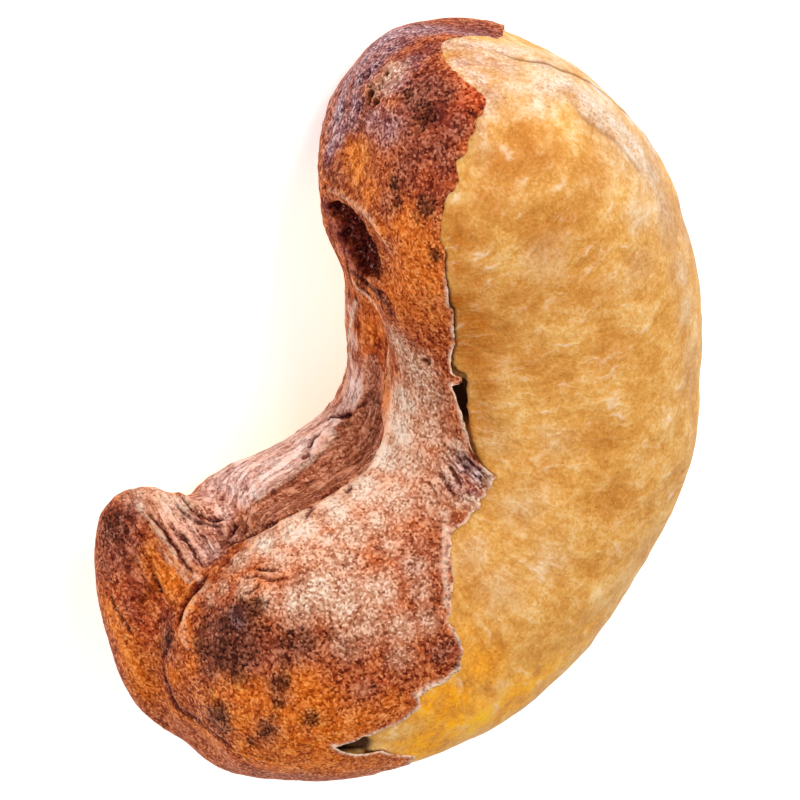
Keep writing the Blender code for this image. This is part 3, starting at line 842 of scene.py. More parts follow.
AMBER = (
    (360, 164, 0.8, 1.0), (352, 150, 0.45, 1.0), (367, 190, 0.55, 0.8), (400, 228, 0.8, 0.8),
    (415, 248, 1.0, 0.8), (426, 278, 0.8, 0.8), (404, 272, 0.9, 0.8), (400, 302, 0.9, 0.7),
    (430, 312, 0.8, 0.5), (377, 228, 0.4, 0.8), (370, 306, 0.6, 0.7), (371, 330, 0.6, 0.8),
    (366, 352, 0.6, 0.5), (370, 382, 0.6, 0.35), (150, 560, 0.5, 0.6), (166, 576, 0.6, 0.9),
    (180, 592, 0.45, 0.7), (158, 545, 0.4, 0.5), (125, 640, 0.5, 0.7), (118, 615, 0.4, 0.5),
    (132, 665, 0.6, 0.9), (146, 690, 0.7, 0.9), (166, 706, 0.7, 0.7), (152, 662, 0.5, 0.4),
    (188, 605, 0.32, 0.8), (184, 625, 0.28, 0.9), (186, 645, 0.32, 0.9), (192, 666, 0.4, 0.8),
    (215, 690, 0.6, 0.8), (240, 694, 0.7, 1.0), (258, 690, 0.6, 1.0), (300, 690, 0.85, 1.0),
    (320, 700, 0.7, 1.0), (290, 716, 0.8, 0.9), (245, 722, 0.7, 0.9), (332, 730, 0.9, 0.9),
    (362, 720, 0.7, 0.8), (290, 745, 1.0, 1.0), (250, 756, 0.8, 0.9), (320, 765, 1.1, 1.0),
    (370, 765, 0.9, 1.0), (200, 735, 0.7, 0.9), (400, 757, 0.5, 0.9), (396, 705, 0.5, 0.6),
    (185, 722, 0.6, 0.9), (172, 676, 0.5, 0.8), (360, 742, 0.6, 0.8), (270, 706, 0.6, 0.8),
    (330, 745, 0.8, 1.0), (150, 600, 0.5, 0.4), (345, 770, 0.8, 1.0), (280, 768, 0.8, 1.0),
    (106, 604, 0.3, 1.0), (114, 628, 0.4, 1.0), (126, 652, 0.45, 1.0), (140, 680, 0.5, 1.0),
    (158, 556, 0.45, 0.9), (172, 582, 0.5, 1.0), (176, 590, 0.4, 0.8),
)
MAROON = (
    (430, 28, 0.6, 1.0), (450, 28, 0.5, 1.0), (470, 30, 0.5, 1.0), (488, 30, 0.5, 1.0),
    (400, 42, 0.7, 0.9), (378, 58, 0.7, 0.7), (420, 52, 0.6, 0.7), (398, 62, 0.6, 0.6),
    (430, 84, 0.7, 0.9), (415, 100, 0.8, 1.0), (432, 116, 0.7, 1.0), (404, 118, 0.7, 0.8),
    (444, 100, 0.6, 0.8), (458, 122, 0.6, 0.8), (440, 140, 0.6, 0.7), (420, 146, 0.6, 0.6),
    (345, 128, 0.6, 0.7), (360, 116, 0.6, 0.6), (330, 160, 0.5, 0.7), (337, 176, 0.5, 0.5),
    (446, 168, 0.5, 0.7), (430, 190, 0.6, 0.6), (404, 176, 0.6, 0.5), (116, 526, 0.8, 1.0),
    (128, 512, 0.6, 0.9), (112, 552, 0.6, 0.7), (134, 548, 0.6, 0.7), (148, 590, 0.8, 0.7),
    (134, 606, 0.6, 0.6), (166, 620, 0.5, 0.7), (300, 612, 0.4, 0.3), (262, 650, 0.8, 0.6),
    (224, 640, 1.1, 0.8), (246, 668, 0.8, 0.7), (452, 646, 0.5, 0.6), (424, 612, 0.5, 0.3),
    (340, 330, 0.4, 0.4), (374, 402, 0.5, 0.5), (370, 268, 0.4, 0.6), (445, 22, 1.3, 1.0),
    (478, 24, 1.3, 1.0), (330, 212, 0.4, 1.0), (336, 232, 0.45, 1.0), (343, 250, 0.45, 1.0),
    (350, 266, 0.4, 0.9), (424, 70, 0.6, 0.7), (500, 32, 0.8, 1.0),
    (428, 46, 0.5, 0.9), (410, 56, 0.5, 0.7), (400, 78, 0.5, 0.6), (384, 122, 0.5, 0.5),
)
RED_BROWN = (
    (470, 96, 0.55, 1.0), (462, 74, 0.5, 0.7), (455, 112, 0.6, 0.6), (446, 140, 0.8, 0.6),
    (430, 172, 0.8, 0.5), (400, 140, 0.9, 0.5), (155, 600, 0.9, 0.7), (135, 590, 0.8, 0.6),
    (150, 626, 0.7, 0.5), (110, 562, 0.6, 0.6), (120, 532, 0.6, 0.6), (228, 754, 0.5, 0.7),
    (256, 766, 0.4, 0.6), (412, 556, 0.7, 0.25), (425, 576, 0.6, 0.3),
    (379, 686, 0.35, 0.8), (440, 651, 0.4, 0.6), (345, 235, 0.9, 0.6), (478, 98, 0.3, 1.0),
    (372, 330, 0.6, 0.5), (374, 356, 0.6, 0.6), (374, 384, 0.5, 0.6),
)
# Lilac: partly the coat's own purple-grey, partly a painted pale sheen near the outline at the blunt
# end.
LILAC = (
    (338, 112, 1.0, 1.0), (345, 84, 0.9, 0.9), (366, 56, 0.9, 0.9), (400, 32, 0.7, 0.7),
    (334, 140, 0.5, 0.8), (388, 48, 0.6, 0.7), (435, 26, 0.5, 0.5), (358, 78, 0.7, 0.9),
    (354, 102, 0.6, 0.8), (372, 66, 0.6, 0.8), (350, 122, 0.5, 0.7), (340, 132, 0.5, 0.8),
    (412, 62, 0.4, 0.5), (380, 110, 0.4, 0.4), (239, 618, 0.4, 0.7), (330, 152, 0.4, 0.8),
    (464, 462, 0.5, 0.8), (477, 474, 0.4, 0.9), (455, 482, 0.5, 0.5), (470, 492, 0.35, 0.6),
    (462, 28, 0.5, 0.5), (485, 29, 0.4, 0.5), (330, 100, 0.6, 1.0), (350, 70, 0.6, 1.0),
    (322, 130, 0.9, 1.0), (415, 26, 0.9, 0.8), (385, 36, 1.2, 1.0), (335, 90, 1.3, 1.0),
    (356, 62, 1.3, 1.0), (395, 80, 0.6, 0.6), (385, 130, 0.6, 0.5), (372, 120, 0.6, 0.6),
)
# Umber is partly painted shade where it fills the valley between the ends.
UMBER = (
    (374, 398, 0.35, 0.9), (362, 424, 0.4, 1.0), (350, 444, 0.42, 1.0), (335, 456, 0.42, 1.0),
    (318, 469, 0.42, 1.0), (300, 481, 0.4, 1.0), (282, 495, 0.36, 1.0), (262, 508, 0.32, 1.0),
    (246, 521, 0.3, 0.9), (374, 438, 0.36, 0.9), (357, 460, 0.36, 0.9), (332, 479, 0.34, 0.9),
    (300, 497, 0.3, 0.9), (272, 511, 0.28, 0.9), (400, 132, 0.8, 0.7), (418, 96, 0.7, 0.8),
    (440, 90, 0.5, 0.6), (410, 160, 0.7, 0.6), (440, 150, 0.6, 0.6), (385, 205, 0.5, 0.5),
    (455, 130, 0.4, 0.6), (230, 640, 1.3, 0.8), (300, 648, 0.9, 0.8), (350, 650, 0.8, 0.5),
    (400, 665, 0.7, 0.5), (440, 650, 0.6, 0.7), (210, 670, 0.7, 0.7), (215, 725, 0.7, 0.6),
    (270, 735, 0.6, 0.6), (280, 690, 0.6, 0.6), (165, 640, 0.6, 0.8), (115, 530, 0.8, 0.8),
    (125, 560, 0.6, 0.6), (365, 690, 0.5, 0.6), (190, 720, 0.5, 0.6), (105, 570, 0.5, 0.6),
    (374, 452, 0.5, 1.0), (357, 468, 0.5, 1.0), (340, 480, 0.5, 1.0), (318, 491, 0.5, 1.0),
    (296, 502, 0.5, 1.0), (272, 514, 0.5, 1.0), (250, 527, 0.5, 1.0), (232, 540, 0.5, 1.0),
    (216, 554, 0.5, 1.0), (384, 420, 0.35, 1.0), (415, 565, 0.6, 0.6),
    (425, 545, 0.5, 0.5),
)
# Pale pink: partly the dry coat's own colour, partly painted light on the far half's upward-facing
# inner side.
PINK = (
    (208, 498, 0.7, 0.7), (240, 480, 1.0, 1.0), (270, 470, 1.0, 1.0), (298, 450, 0.9, 1.0),
    (328, 425, 0.7, 1.0), (345, 396, 0.6, 1.0), (352, 380, 0.4, 0.8), (222, 512, 0.6, 0.8),
    (186, 530, 0.8, 0.5), (202, 550, 0.7, 0.6), (216, 524, 0.7, 0.5), (172, 515, 0.6, 0.4),
    (255, 492, 0.7, 1.0), (285, 468, 0.7, 1.0), (312, 446, 0.6, 1.0), (340, 408, 0.5, 1.0),
    (300, 430, 1.6, 1.0), (335, 392, 1.2, 1.0), (265, 450, 1.6, 1.0), (232, 468, 1.5, 1.0),
    (345, 340, 0.4, 0.7), (346, 310, 0.35, 0.6),
)
# The dusty zone: pale dry coat, and painted highlight where the near ridge catches the light.
DUSTY = (
    (400, 346, 0.7, 0.8), (415, 370, 0.9, 0.9), (426, 395, 0.9, 0.8), (405, 400, 0.8, 1.0),
    (402, 430, 0.9, 1.0), (430, 430, 0.8, 0.7), (388, 460, 0.8, 1.0), (410, 465, 0.8, 0.8),
    (366, 490, 0.8, 1.0), (336, 512, 0.7, 1.0), (300, 530, 0.7, 1.0), (268, 546, 0.6, 1.0),
    (240, 560, 0.5, 0.8), (440, 470, 0.8, 0.6), (430, 500, 0.8, 0.6), (455, 450, 0.5, 0.8),
    (395, 500, 0.8, 0.8), (280, 562, 0.6, 0.7), (310, 552, 0.6, 0.6), (342, 562, 0.8, 0.7),
    (320, 590, 0.9, 1.0), (350, 600, 0.9, 1.0), (300, 605, 0.7, 1.0), (380, 590, 0.7, 0.8),
    (370, 620, 0.8, 0.7), (400, 626, 0.6, 0.7), (425, 620, 0.5, 0.6), (350, 640, 0.6, 0.5),
    (400, 655, 0.5, 0.4), (270, 600, 0.5, 0.6), (245, 585, 0.4, 0.7), (220, 586, 0.35, 0.6),
    (410, 566, 0.5, 0.5), (436, 560, 0.4, 0.4), (420, 590, 0.5, 0.6), (486, 480, 0.25, 0.9),
    (474, 500, 0.35, 0.8), (462, 505, 0.4, 0.6), (390, 545, 0.5, 0.6), (445, 520, 0.4, 0.7),
    (206, 600, 0.3, 0.5), (165, 500, 0.7, 0.6), (145, 495, 0.6, 0.4), (186, 505, 0.6, 0.6),
    (388, 75, 0.5, 0.9), (376, 86, 0.4, 0.7), (400, 65, 0.3, 0.5), (384, 92, 0.3, 0.5),
    (352, 532, 0.7, 0.9), (376, 522, 0.6, 0.8), (328, 540, 0.5, 0.8), (404, 540, 0.6, 0.35),
)
# Pale lines: pixels, half width in mm and strength. Most are pale torn paper; the line along
# the near ridge's crest is a painted highlight, and the knob's fold is pale partly as one.
PALE_LINES = (
    (((446, 530), (444, 560), (447, 590), (445, 608)), 0.1, 0.6),
    (((452, 384), (457, 394), (461, 406), (465, 420), (468, 434), (473, 448)), 0.12, 0.85),
    # The knob's fold: pale paper, partly painted highlight.
    (((139, 506), (150, 519), (160, 532), (170, 546), (182, 561), (191, 572), (199, 580)), 0.08, 1.0),
    (((160, 549), (170, 561), (182, 573), (190, 583)), 0.07, 0.5),
    (((464, 655), (458, 670), (446, 679), (430, 686), (416, 695)), 0.09, 0.8),
    (((333, 746), (345, 750), (357, 754), (380, 750), (395, 753), (412, 753)), 0.08, 0.9),
    # Painted highlight along the crest of the near ridge.
    (((388, 345), (391, 372), (393, 400), (391, 425), (385, 447), (373, 466), (353, 484),
      (331, 500), (302, 514), (272, 528), (247, 544)), 0.13, 0.5),
    (((207, 584), (195, 599), (186, 615), (183, 631), (186, 648)), 0.08, 0.35),
    (((330, 191), (346, 198), (360, 208), (371, 222), (378, 240), (385, 256)), 0.08, 0.4),
    (((347, 282), (355, 290), (364, 298), (372, 305), (379, 314), (384, 325)), 0.06, 0.7),
    (((349, 306), (348, 322), (348, 340), (349, 356), (351, 368)), 0.13, 0.8),
)
KNOB_TOP = ((152, 492, 0.9, 1.0), (178, 492, 0.7, 0.8))
# The torn fibres at the flap's tip, which run down to the right in the photograph.
FRAYED = (
    (470, 472, 0.8, 1.0), (455, 455, 0.6, 0.8), (480, 480, 0.5, 1.0), (455, 490, 0.6, 0.7),
    (460, 432, 0.4, 0.7),
)
FRAY_TURN = math.radians(48)
# The knob's pleats, which run steeply down to the right.
KNOB_WRINKLES = (
    (190, 540, 1.3, 1.0), (210, 515, 0.9, 1.0), (170, 520, 0.9, 1.0), (160, 560, 0.9, 0.7),
)
KNOB_TURN = math.radians(58)
# Where the hollow side is smooth rather than pleated.
CALM = (
    (370, 312, 0.5, 1.0), (374, 336, 0.5, 1.0), (375, 360, 0.5, 1.0), (372, 384, 0.5, 0.9),
    (368, 408, 0.5, 0.7), (355, 438, 0.5, 0.8), (336, 458, 0.5, 0.8), (312, 477, 0.5, 0.8),
    (286, 496, 0.45, 0.8), (262, 511, 0.4, 0.7),
)

# The coat's zones: their patches, their seed, and for the hidden sides the size of the
# marks by chance and the span of noise that they take up.
COAT_MARKS = {
    "scorch_and_shade": (SCORCHED, 43, 1.3, 0.15, 0.5),
    "amber": (AMBER, 45, 2.6, -0.1, 0.5),
    "maroon": (MAROON, 42, 2.3, 0.1, 0.6),
    "red": (RED_BROWN, 46, 1.9, 0.0, 0.5),
    "lilac": (LILAC, 47, 2.8, 0.35, 0.7),
    "umber": (UMBER, 44, 2.0, 0.0, 0.5),
    "pink": (PINK, 48, 3.0, 0.4, 0.8),
    "dust_and_highlight": (DUSTY, 49, 2.2, 0.1, 0.6),
}
CHANCE = 0.8  # how strong the marks by chance are

# The coat's relief, in mm: its wrinkles and fine wrinkles, with what the hollow side has
# more of, its crumple and leathery grain, the knob's pleats, its top, the pits, the torn
# fibres, and how far the torn edge and the flap stand up.
WRINKLE, WRINKLE_HOLLOW = 0.006, 0.028
FINE_WRINKLE, FINE_WRINKLE_HOLLOW = 0.004, 0.016
CRUMPLE, LEATHER, PLEAT = 0.04, 0.014, 0.035
KNOB_RISE, PIT_DEPTH, FIBRE_RISE = 0.18, 0.16, 0.07
EDGE_LIFT, EDGE_LIFT_VARIES, EDGE_REACH = 0.02, 0.04, 0.22
FLAP_RISE = 0.3


def line_relief(points, nut):
    """The relief of the coat's lines, and how deep in a crease each point is, for the painted shade in
    it.
    """
    relief, crease_and_recess_shade = np.zeros(len(points)), np.zeros(len(points))
    wander = wandering(points, 0.04, 0.3, 61)
    for pixels, width, depth, lip in CREASES:
        gap, _, share = near_line(wander, nut.line(pixels), 6 * width)
        taper = 0.25 + 0.75 * np.sqrt(np.clip(4 * share * (1 - share), 0, 1))
        ends = smooth_step(0, 0.2, share) * smooth_step(0, 0.2, 1 - share)
        cut = np.exp(-((gap / (width * taper)) ** 2)) * ends
        relief += lip * np.exp(-(((gap - 2.2 * width) / width) ** 2)) * ends - depth * cut
        crease_and_recess_shade = np.maximum(crease_and_recess_shade, cut * min(1.0, 0.35 + depth / 0.125))
    for pixels, width, height in FOLDS:
        gap, _, share = near_line(wander, nut.line(pixels), 4 * width)
        ends = smooth_step(0, 0.3, share) * smooth_step(0, 0.2, 1 - share)
        relief += height * np.exp(-((gap / width) ** 2)) * ends
    for pixels, rise, slope, reach in STEPS:
        gap, side, share = near_line(wander, nut.line(pixels), 4 * reach)
        ends = smooth_step(0, 0.1, share) * smooth_step(0, 0.1, 1 - share)
        raised = rise * np.exp(-gap / reach) * smooth_step(0, slope, gap) * ends
        relief += np.where((side > 0) & np.isfinite(gap), raised, 0.0)
    return relief, crease_and_recess_shade


def recess_share(points, nut):
    """How deep in the recess beside the neck each point lies, from 0 to 1."""
    share = np.zeros(len(points))
    middle = nut.spot(RECESS.mean(axis=0))
    near = np.flatnonzero(np.linalg.norm(points - middle, axis=1) < RECESS_REACH)
    within = -from_outline(seen_pixels(points[near]), RECESS) * PIXEL
    within += 0.04 * noise(points[near], 0.3, 37)
    share[near] = smooth_step(0, RECESS_WALL, within)
    return share


def facing_near(points, normals, line, reach):
    """The points within reach of a line that face the camera, as indexes."""
    gap, _, _ = near_line(points, line, reach)
    return np.flatnonzero(np.isfinite(gap) & (normals @ np.array(VIEW_BACK) > FACING))


def seen_gap(points, shown, line, reach, seed):
    """How far from a line of pixels points are seen to lie, in mm, and the share along it."""
    places = np.column_stack([seen_pixels(shown) * PIXEL, np.zeros(len(points))])
    line = np.column_stack([np.array(line) * PIXEL, np.zeros(len(line))])
    gap, _, share = near_line(places + 0.02 * noise(points, 0.25, seed)[:, None], line, reach)
    return gap, share


def neck_crease(points, shown, normals, nut):
    """How near the crease of the neck each point is seen to lie, from 0 to 1, for its painted shade."""
    dark = np.zeros(len(points))
    near = facing_near(points, normals, nut.line(NECK_CREASE), NECK_REACH)
    gap, share = seen_gap(points[near], shown[near], NECK_CREASE, 0.5, 83)
    ends = smooth_step(0, 0.1, share) * smooth_step(0, 0.2, 1 - share)
    dark[near] = ends * np.exp(-((gap / 0.075) ** 2))
    return dark


def valley_marks(points, shown, normals, nut):
    """Shares of the valley (brown, partly painted shade), the edge's painted highlight and its painted
    shadow.

    They lie where the camera sees the finished coat, as the valley's sides stand off."""
    valley, edge_highlight, step_shadow = (np.zeros(len(points)) for _ in range(3))
    near = facing_near(points, normals, nut.line(VALLEY_MIDDLE), VALLEY_REACH)
    within = -from_outline(seen_pixels(shown[near]), VALLEY) * PIXEL
    within += 0.03 * noise(points[near], 0.3, 81)
    valley[near] = smooth_step(0.0, 0.1, within)
    gap, share = seen_gap(points[near], shown[near], VALLEY_EDGE, 0.6, 82)
    ends = smooth_step(0, 0.1, share) * smooth_step(0, 0.06, 1 - share)
    edge_highlight[near] = 0.65 * ends * np.exp(-((gap / 0.06) ** 2))
    step_shadow[near] = ends * np.exp(-(((gap - 0.14) / 0.07) ** 2)) * (within > 0)
    return valley, edge_highlight, step_shadow


def pale_lines(points, nut):
    """How near the coat's pale lines each point lies, from 0 to their strength: mostly papery, some
    painted highlights.
    """
    paper = np.zeros(len(points))
    wander = wandering(points, 0.035, 0.25, 64)
    for pixels, width, strength in PALE_LINES:
        gap, _, _ = near_line(wander, nut.line(pixels), 4 * width)
        paper = np.maximum(paper, strength * np.exp(-((gap / width) ** 2)))
    return paper


def turned(points, turn):
    """Places along and across a direction that runs down to the right as the camera sees it."""
    right, up = points @ np.array(VIEW_RIGHT), points @ np.array(VIEW_UP)
    along = right * math.cos(turn) - up * math.sin(turn)
    across = right * math.sin(turn) + up * math.cos(turn)
    return np.stack([along, across, np.zeros(len(points))], axis=1)


def frayed_fibres(points):
    """Ridges of the torn fibres, about 0.1 mm apart and ten times as long."""
    return noise(turned(points, FRAY_TURN) / (1.1, 0.13, 1.0), 1.0, 71)


def hidden_mark(points, size, seed, low, high):
    """A mark for the sides that the photograph doesn't show, by chance."""
    return smooth_step(low, high, rough_noise(points, size, seed))


def coat_wrinkles(points, distance, angle, nut):
    """The coat's crumple and wrinkles, and the shares of its hollow side and knob pleats."""
    flow = flow_of(distance, angle)
    degrees = np.degrees(angle)
    hollow = smooth_step(148, 178, degrees) * smooth_step(255, 215, degrees)
    hollow *= 1 - 0.85 * patches(points, CALM, nut, 79)
    warped = flow + 0.25 * noise(points, 1.4, 30)[:, None]
    pleated = patches(points, KNOB_WRINKLES, nut, 77)
    pleats = ridges(turned(points, KNOB_TURN) / (1.6, 0.26, 1.0), 1.0, 72)
    relief = (WRINKLE + WRINKLE_HOLLOW * hollow) * ridges(warped * (0.16, 1.0, 1.0), 0.36, 31)
    relief += (FINE_WRINKLE + FINE_WRINKLE_HOLLOW * hollow) * ridges(warped * (0.22, 1.0, 1.0), 0.2, 32)
    relief += CRUMPLE * rough_noise(points, 0.8, 33) + LEATHER * ridges(points, 0.28, 34)
    relief += PLEAT * pleated * pleats
    return relief, {"hollow": hollow, "pleated": pleated}


def coat_zones(points, normals, nut):
    """The coat's zones: the photograph's patches, and marks by chance on the hidden sides."""
    seen = smooth_step(-0.35, -0.05, normals @ np.array(VIEW_BACK))
    zones = {}
    for name, (places, seed, size, low, high) in COAT_MARKS.items():
        guess = CHANCE * hidden_mark(points, size, seed + 50, low, high)
        zones[name] = seen * patches(points, places, nut, seed) + (1 - seen) * guess
    return zones


def skin_relief(points, normals, distance, angle, field, nut):
    """How far the coat stands off the nut's form, and the shares of its marks."""
    relief, marks = coat_wrinkles(points, distance, angle, nut)
    lines, marks["crease_and_recess_shade"] = line_relief(points, nut)
    marks["recess"] = recess_share(points + SKIN_THICKNESS * normals, nut)
    marks["pits"] = patches(points, PITS, nut, 39)
    marks["frayed"] = patches(points, FRAYED, nut, 73)
    marks["fibres"] = marks["frayed"] * frayed_fibres(points)
    relief += lines - PIT_DEPTH * marks["pits"]
    relief -= RECESS_DEPTH * marks["recess"] * (1 - 0.25 * np.abs(noise(points, 0.22, 38)))
    relief += FIBRE_RISE * marks["fibres"] + KNOB_RISE * patches(points, KNOB_TOP, nut, 75)
    marks["wrinkled"] = relief.copy()
    edge = np.exp(-field / EDGE_REACH)
    lift = np.maximum(EDGE_LIFT + EDGE_LIFT_VARIES * noise(points, 0.5, 41), 0.0)
    relief += SKIN_THICKNESS + lift * smooth_step(3.0, 5.0, distance) * edge
    relief += outline_touches(points, nut)
    flap, _, _ = near_line(points, nut.line(FLAP), 2.0)
    relief += FLAP_RISE * np.exp(-((flap / 0.6) ** 2)) * edge
    return relief, marks


def torn_rim(points, distance, field, nut):
    """How pale each point is as a part of the torn rim or of a pale line, some of them painted
    highlights.
    """
    torn = np.exp(-((field / 0.08) ** 2)) * smooth_step(-0.9, 0.1, noise(points, 0.24, 68))
    torn *= 0.85 * smooth_step(3.2, 5.0, distance)
    paper = pale_lines(points, nut) * smooth_step(-0.9, 0.0, noise(points, 0.2, 70))
    return np.maximum(torn, paper)


def skin_fields(points, normals, relief, marks, rim, nut):
    """The coat's colour fields, from the marks of its relief and its pale rim."""
    shown = points + relief[:, None] * normals
    crease_and_recess_shade = np.maximum(marks["crease_and_recess_shade"], neck_crease(points, shown, normals, nut))
    valley, step_highlight, step_shadow = valley_marks(points, shown, normals, nut)
    fields = coat_zones(points, normals, nut)
    fields["scorch_and_shade"] = np.maximum(fields["scorch_and_shade"], 0.9 * marks["pits"])
    # The valley takes its own zones; its umber there is partly painted shade.
    for name, own in VALLEY_ZONES.items():
        fields[name] += (own - fields[name]) * valley
    # Painted shade: darker in the creases, in the recess and at the foot of the valley's edge.
    fields["crease_and_recess_shade"] = np.maximum(np.maximum(crease_and_recess_shade, marks["recess"]), 0.45 * step_shadow)
    rim = rim * (1 - smooth_step(0.0, 0.35, crease_and_recess_shade)) * (1 - valley)
    # The pale rim, with the painted highlight on the valley's edge.
    fields["rim"] = np.maximum(rim, step_highlight)
    # Painted light and shade of the relief: lighter where the coat stands up, darker in its wrinkles.
    fields["relief_light_and_shade"] = np.clip(0.42 + 6 * marks["wrinkled"] + 0.4 * marks["fibres"], 0, 1)
    pleated, frayed = marks["pleated"], marks["frayed"]
    streaky = np.maximum(marks["hollow"], 0.12) * (1 - pleated) * (1 - frayed)
    return fields | {"pleated": pleated, "frayed": frayed, "streaky": streaky}


def skin_angles():
    """Angles round the nut, closer together on the seen side."""
    fine = np.linspace(0, 360, 3601)
    seen = smooth_step(SEEN_FROM - SEEN_FADE, SEEN_FROM, fine)
    seen *= smooth_step(SEEN_TO + SEEN_FADE, SEEN_TO, fine)
    crowd = (1 - seen) / SKIN_ROUND_HIDDEN + seen / SKIN_ROUND_SEEN
    run = np.concatenate([[0.0], np.cumsum((crowd[1:] + crowd[:-1]) / 2)])
    count = round(run[-1] / 3600 * 2 * math.pi * GIRTH_RADIUS)
    return np.radians(np.interp(np.linspace(0, run[-1], count + 1)[:-1], run, fine))


def closed_cells(rows, wide):
    """The triangles of a grid that closes round the nut, and of the fans at its ends."""
    here = np.arange(rows * wide).reshape(rows, wide)
    beside = np.roll(here, -1, axis=1)
    a, b, c, d = (grid.ravel() for grid in (here[:-1], here[1:], beside[1:], beside[:-1]))
    first, last = rows * wide, rows * wide + 1
    cells = [np.stack([a, b, c], axis=1), np.stack([a, c, d], axis=1)]
    cells.append(np.stack([np.full(wide, first), here[0], beside[0]], axis=1))
    cells.append(np.stack([np.full(wide, last), beside[-1], here[-1]], axis=1))
    return np.vstack(cells)


def torn_grid(outline):
    """The coat's points, as distance and angle, and its triangles, cut along the tear."""
    distance, angle = even_distances(SKIN_STEP)[1:-1], skin_angles()
    s, a = (grid.ravel() for grid in np.meshgrid(distance, angle, indexing="ij"))
    s, a = np.append(s, [0.0, LENGTH]), np.append(a, [0.0, 0.0])
    field = ragged(s, a, outline)
    field[-2:] = FAR
    cells = closed_cells(len(distance), len(angle))
    kept = field[cells] >= 0
    whole = cells[kept.all(axis=1)]
    s, a, cut = cut_along(s, a, field, cells[kept.any(axis=1) & ~kept.all(axis=1)])
    cells = np.vstack([whole, cut])
    used, index = np.unique(cells, return_inverse=True)
    return s[used], a[used], index.reshape(-1, 3)


def cut_along(s, a, field, cells):
    """The triangles that the tear crosses, cut down to the skin's side of it."""
    s, a, places, cut = list(s), list(a), {}, []

    def crossing(p, q):
        key = (min(p, q), max(p, q))
        if key not in places:
            share = field[p] / (field[p] - field[q])
            turn = (a[q] - a[p] + math.pi) % (2 * math.pi) - math.pi
            places[key] = len(s)
            s.append(s[p] + share * (s[q] - s[p]))
            a.append(a[p] + share * turn)
        return places[key]

    for cell in cells.tolist():
        ring = []
        for p, q in zip(cell, cell[1:] + cell[:1]):
            if field[p] >= 0:
                ring.append(p)
            if (field[p] >= 0) != (field[q] >= 0):
                ring.append(crossing(p, q))
        cut += [[ring[0], ring[i], ring[i + 1]] for i in range(1, len(ring) - 1)]
    return np.array(s), np.array(a), np.array(cut)


def rim_walls(faces, below):
    """Triangles that join the rim of the outer side to the points below it."""
    sides = np.vstack([faces[:, [0, 1]], faces[:, [1, 2]], faces[:, [2, 0]]])
    keys = np.sort(sides, axis=1)
    _, index, counts = np.unique(keys, axis=0, return_index=True, return_counts=True)
    a, b = sides[index[counts == 1]].T
    first = np.stack([b, a, below[a]], axis=1)
    second = np.stack([b, below[a], below[b]], axis=1)
    return np.vstack([first, second])


def torn_skin(name, nut, outline, box, finish):
    """The seed coat: a thin crumpled shell with its torn edge a little proud.

    Its inner side runs in from the tear and meets the outer side where nothing shows it."""
    s, a, faces = torn_grid(outline)
    points = form(s, a)
    faces = outward_faces(points - points.mean(axis=0), faces)
    normals = vertex_normals(points, faces)
    field = np.maximum(from_tear(s, a, outline), 0)
    relief, marks = skin_relief(points, normals, s, a, field, nut)
    fields = skin_fields(points, normals, relief, marks, torn_rim(points, s, field, nut), nut)
    thickness = RIM_THICKNESS + (SKIN_THICKNESS - RIM_THICKNESS) * smooth_step(0, 0.3, field)
    thickness *= smooth_step(HEM, 0.6 * HEM, field)
    hem = faces[(field[faces] < HEM).any(axis=1)]
    under = np.unique(hem)
    below = np.zeros(len(points), int)
    below[under] = len(points) + np.arange(len(under))
    outer = points + relief[:, None] * normals
    inner = (outer - thickness[:, None] * normals)[under]
    every = np.vstack([faces, below[hem][:, ::-1], rim_walls(faces, below)])
    shell = np.clip(np.vstack([outer, inner]), *box)
    fields = {name: np.concatenate([values, values[under]]) for name, values in fields.items()}
    flow = flow_of(s, a)
    return make_mesh(name, shell, every, fields, np.vstack([flow, flow[under]]), finish)


# Materials.


def new_material(name):
    made = bpy.data.materials.new(name)
    made.use_nodes = True
    return made, made.node_tree, made.node_tree.nodes["Principled BSDF"]


def set_inputs(tree, node, inputs):
    """Set a node's inputs to numbers, vectors or hex colours, or link them to sockets."""
    for key, value in inputs.items():
        if isinstance(value, bpy.types.NodeSocket):
            tree.links.new(value, node.inputs[key])
        else:
            node.inputs[key].default_value = linear(value) if isinstance(value, str) else value


def add_node(tree, kind, inputs=None, output=0, **settings):
    """An output of a new shader node, which has these settings and inputs."""
    node = tree.nodes.new("ShaderNode" + kind)
    for key, value in settings.items():
        setattr(node, key, value)
    set_inputs(tree, node, inputs or {})
    return node.outputs[output]


SMOOTH = {"interpolation_type": "SMOOTHSTEP"}  # a range that is stretched with soft ends
# The nut's cells are finer than a pixel of the render, so they are drawn at this size, in mm.
GRAIN = 0.08
# The tones that turn the dark grains to middle ones, and those to light ones.
DARK_TO_MIDDLE, MIDDLE_TO_LIGHT = (0.24, 0.5), (0.5, 0.78)


def per_mm(size):
    """A texture's scale for lumps of this size in mm, in coordinates of metres."""
    return 1.0 / (size * MM)


def fields_of(tree, names):
    """The mesh's fields with these names, as sockets."""
    made = {}
    for name in names:
        made[name] = add_node(tree, "Attribute", None, "Fac", attribute_name=name)
    return made


def grit_of(tree, place, size):
    """Fine grains of random lightness, softened by noise of their own size, about 0.5."""
    grains = add_node(tree, "TexVoronoi", {"Vector": place, "Scale": per_mm(size)}, "Color")
    soft = {"Vector": place, "Scale": per_mm(1.5 * size), "Detail": 2.0, "Roughness": 0.7}
    return add_up(tree, 0.0, [(grains, 0.0, 0.5), (add_node(tree, "TexNoise", soft), 0.0, 0.5)])


def add_up(tree, start, parts):
    """A start value plus each part's distance from its middle, times its weight."""
    total = start
    for value, middle, weight in parts:
        offset = add_node(tree, "Math", {0: value, 1: middle}, operation="SUBTRACT")
        total = add_node(tree, "Math", {0: offset, 1: weight, 2: total}, operation="MULTIPLY_ADD")
    return total


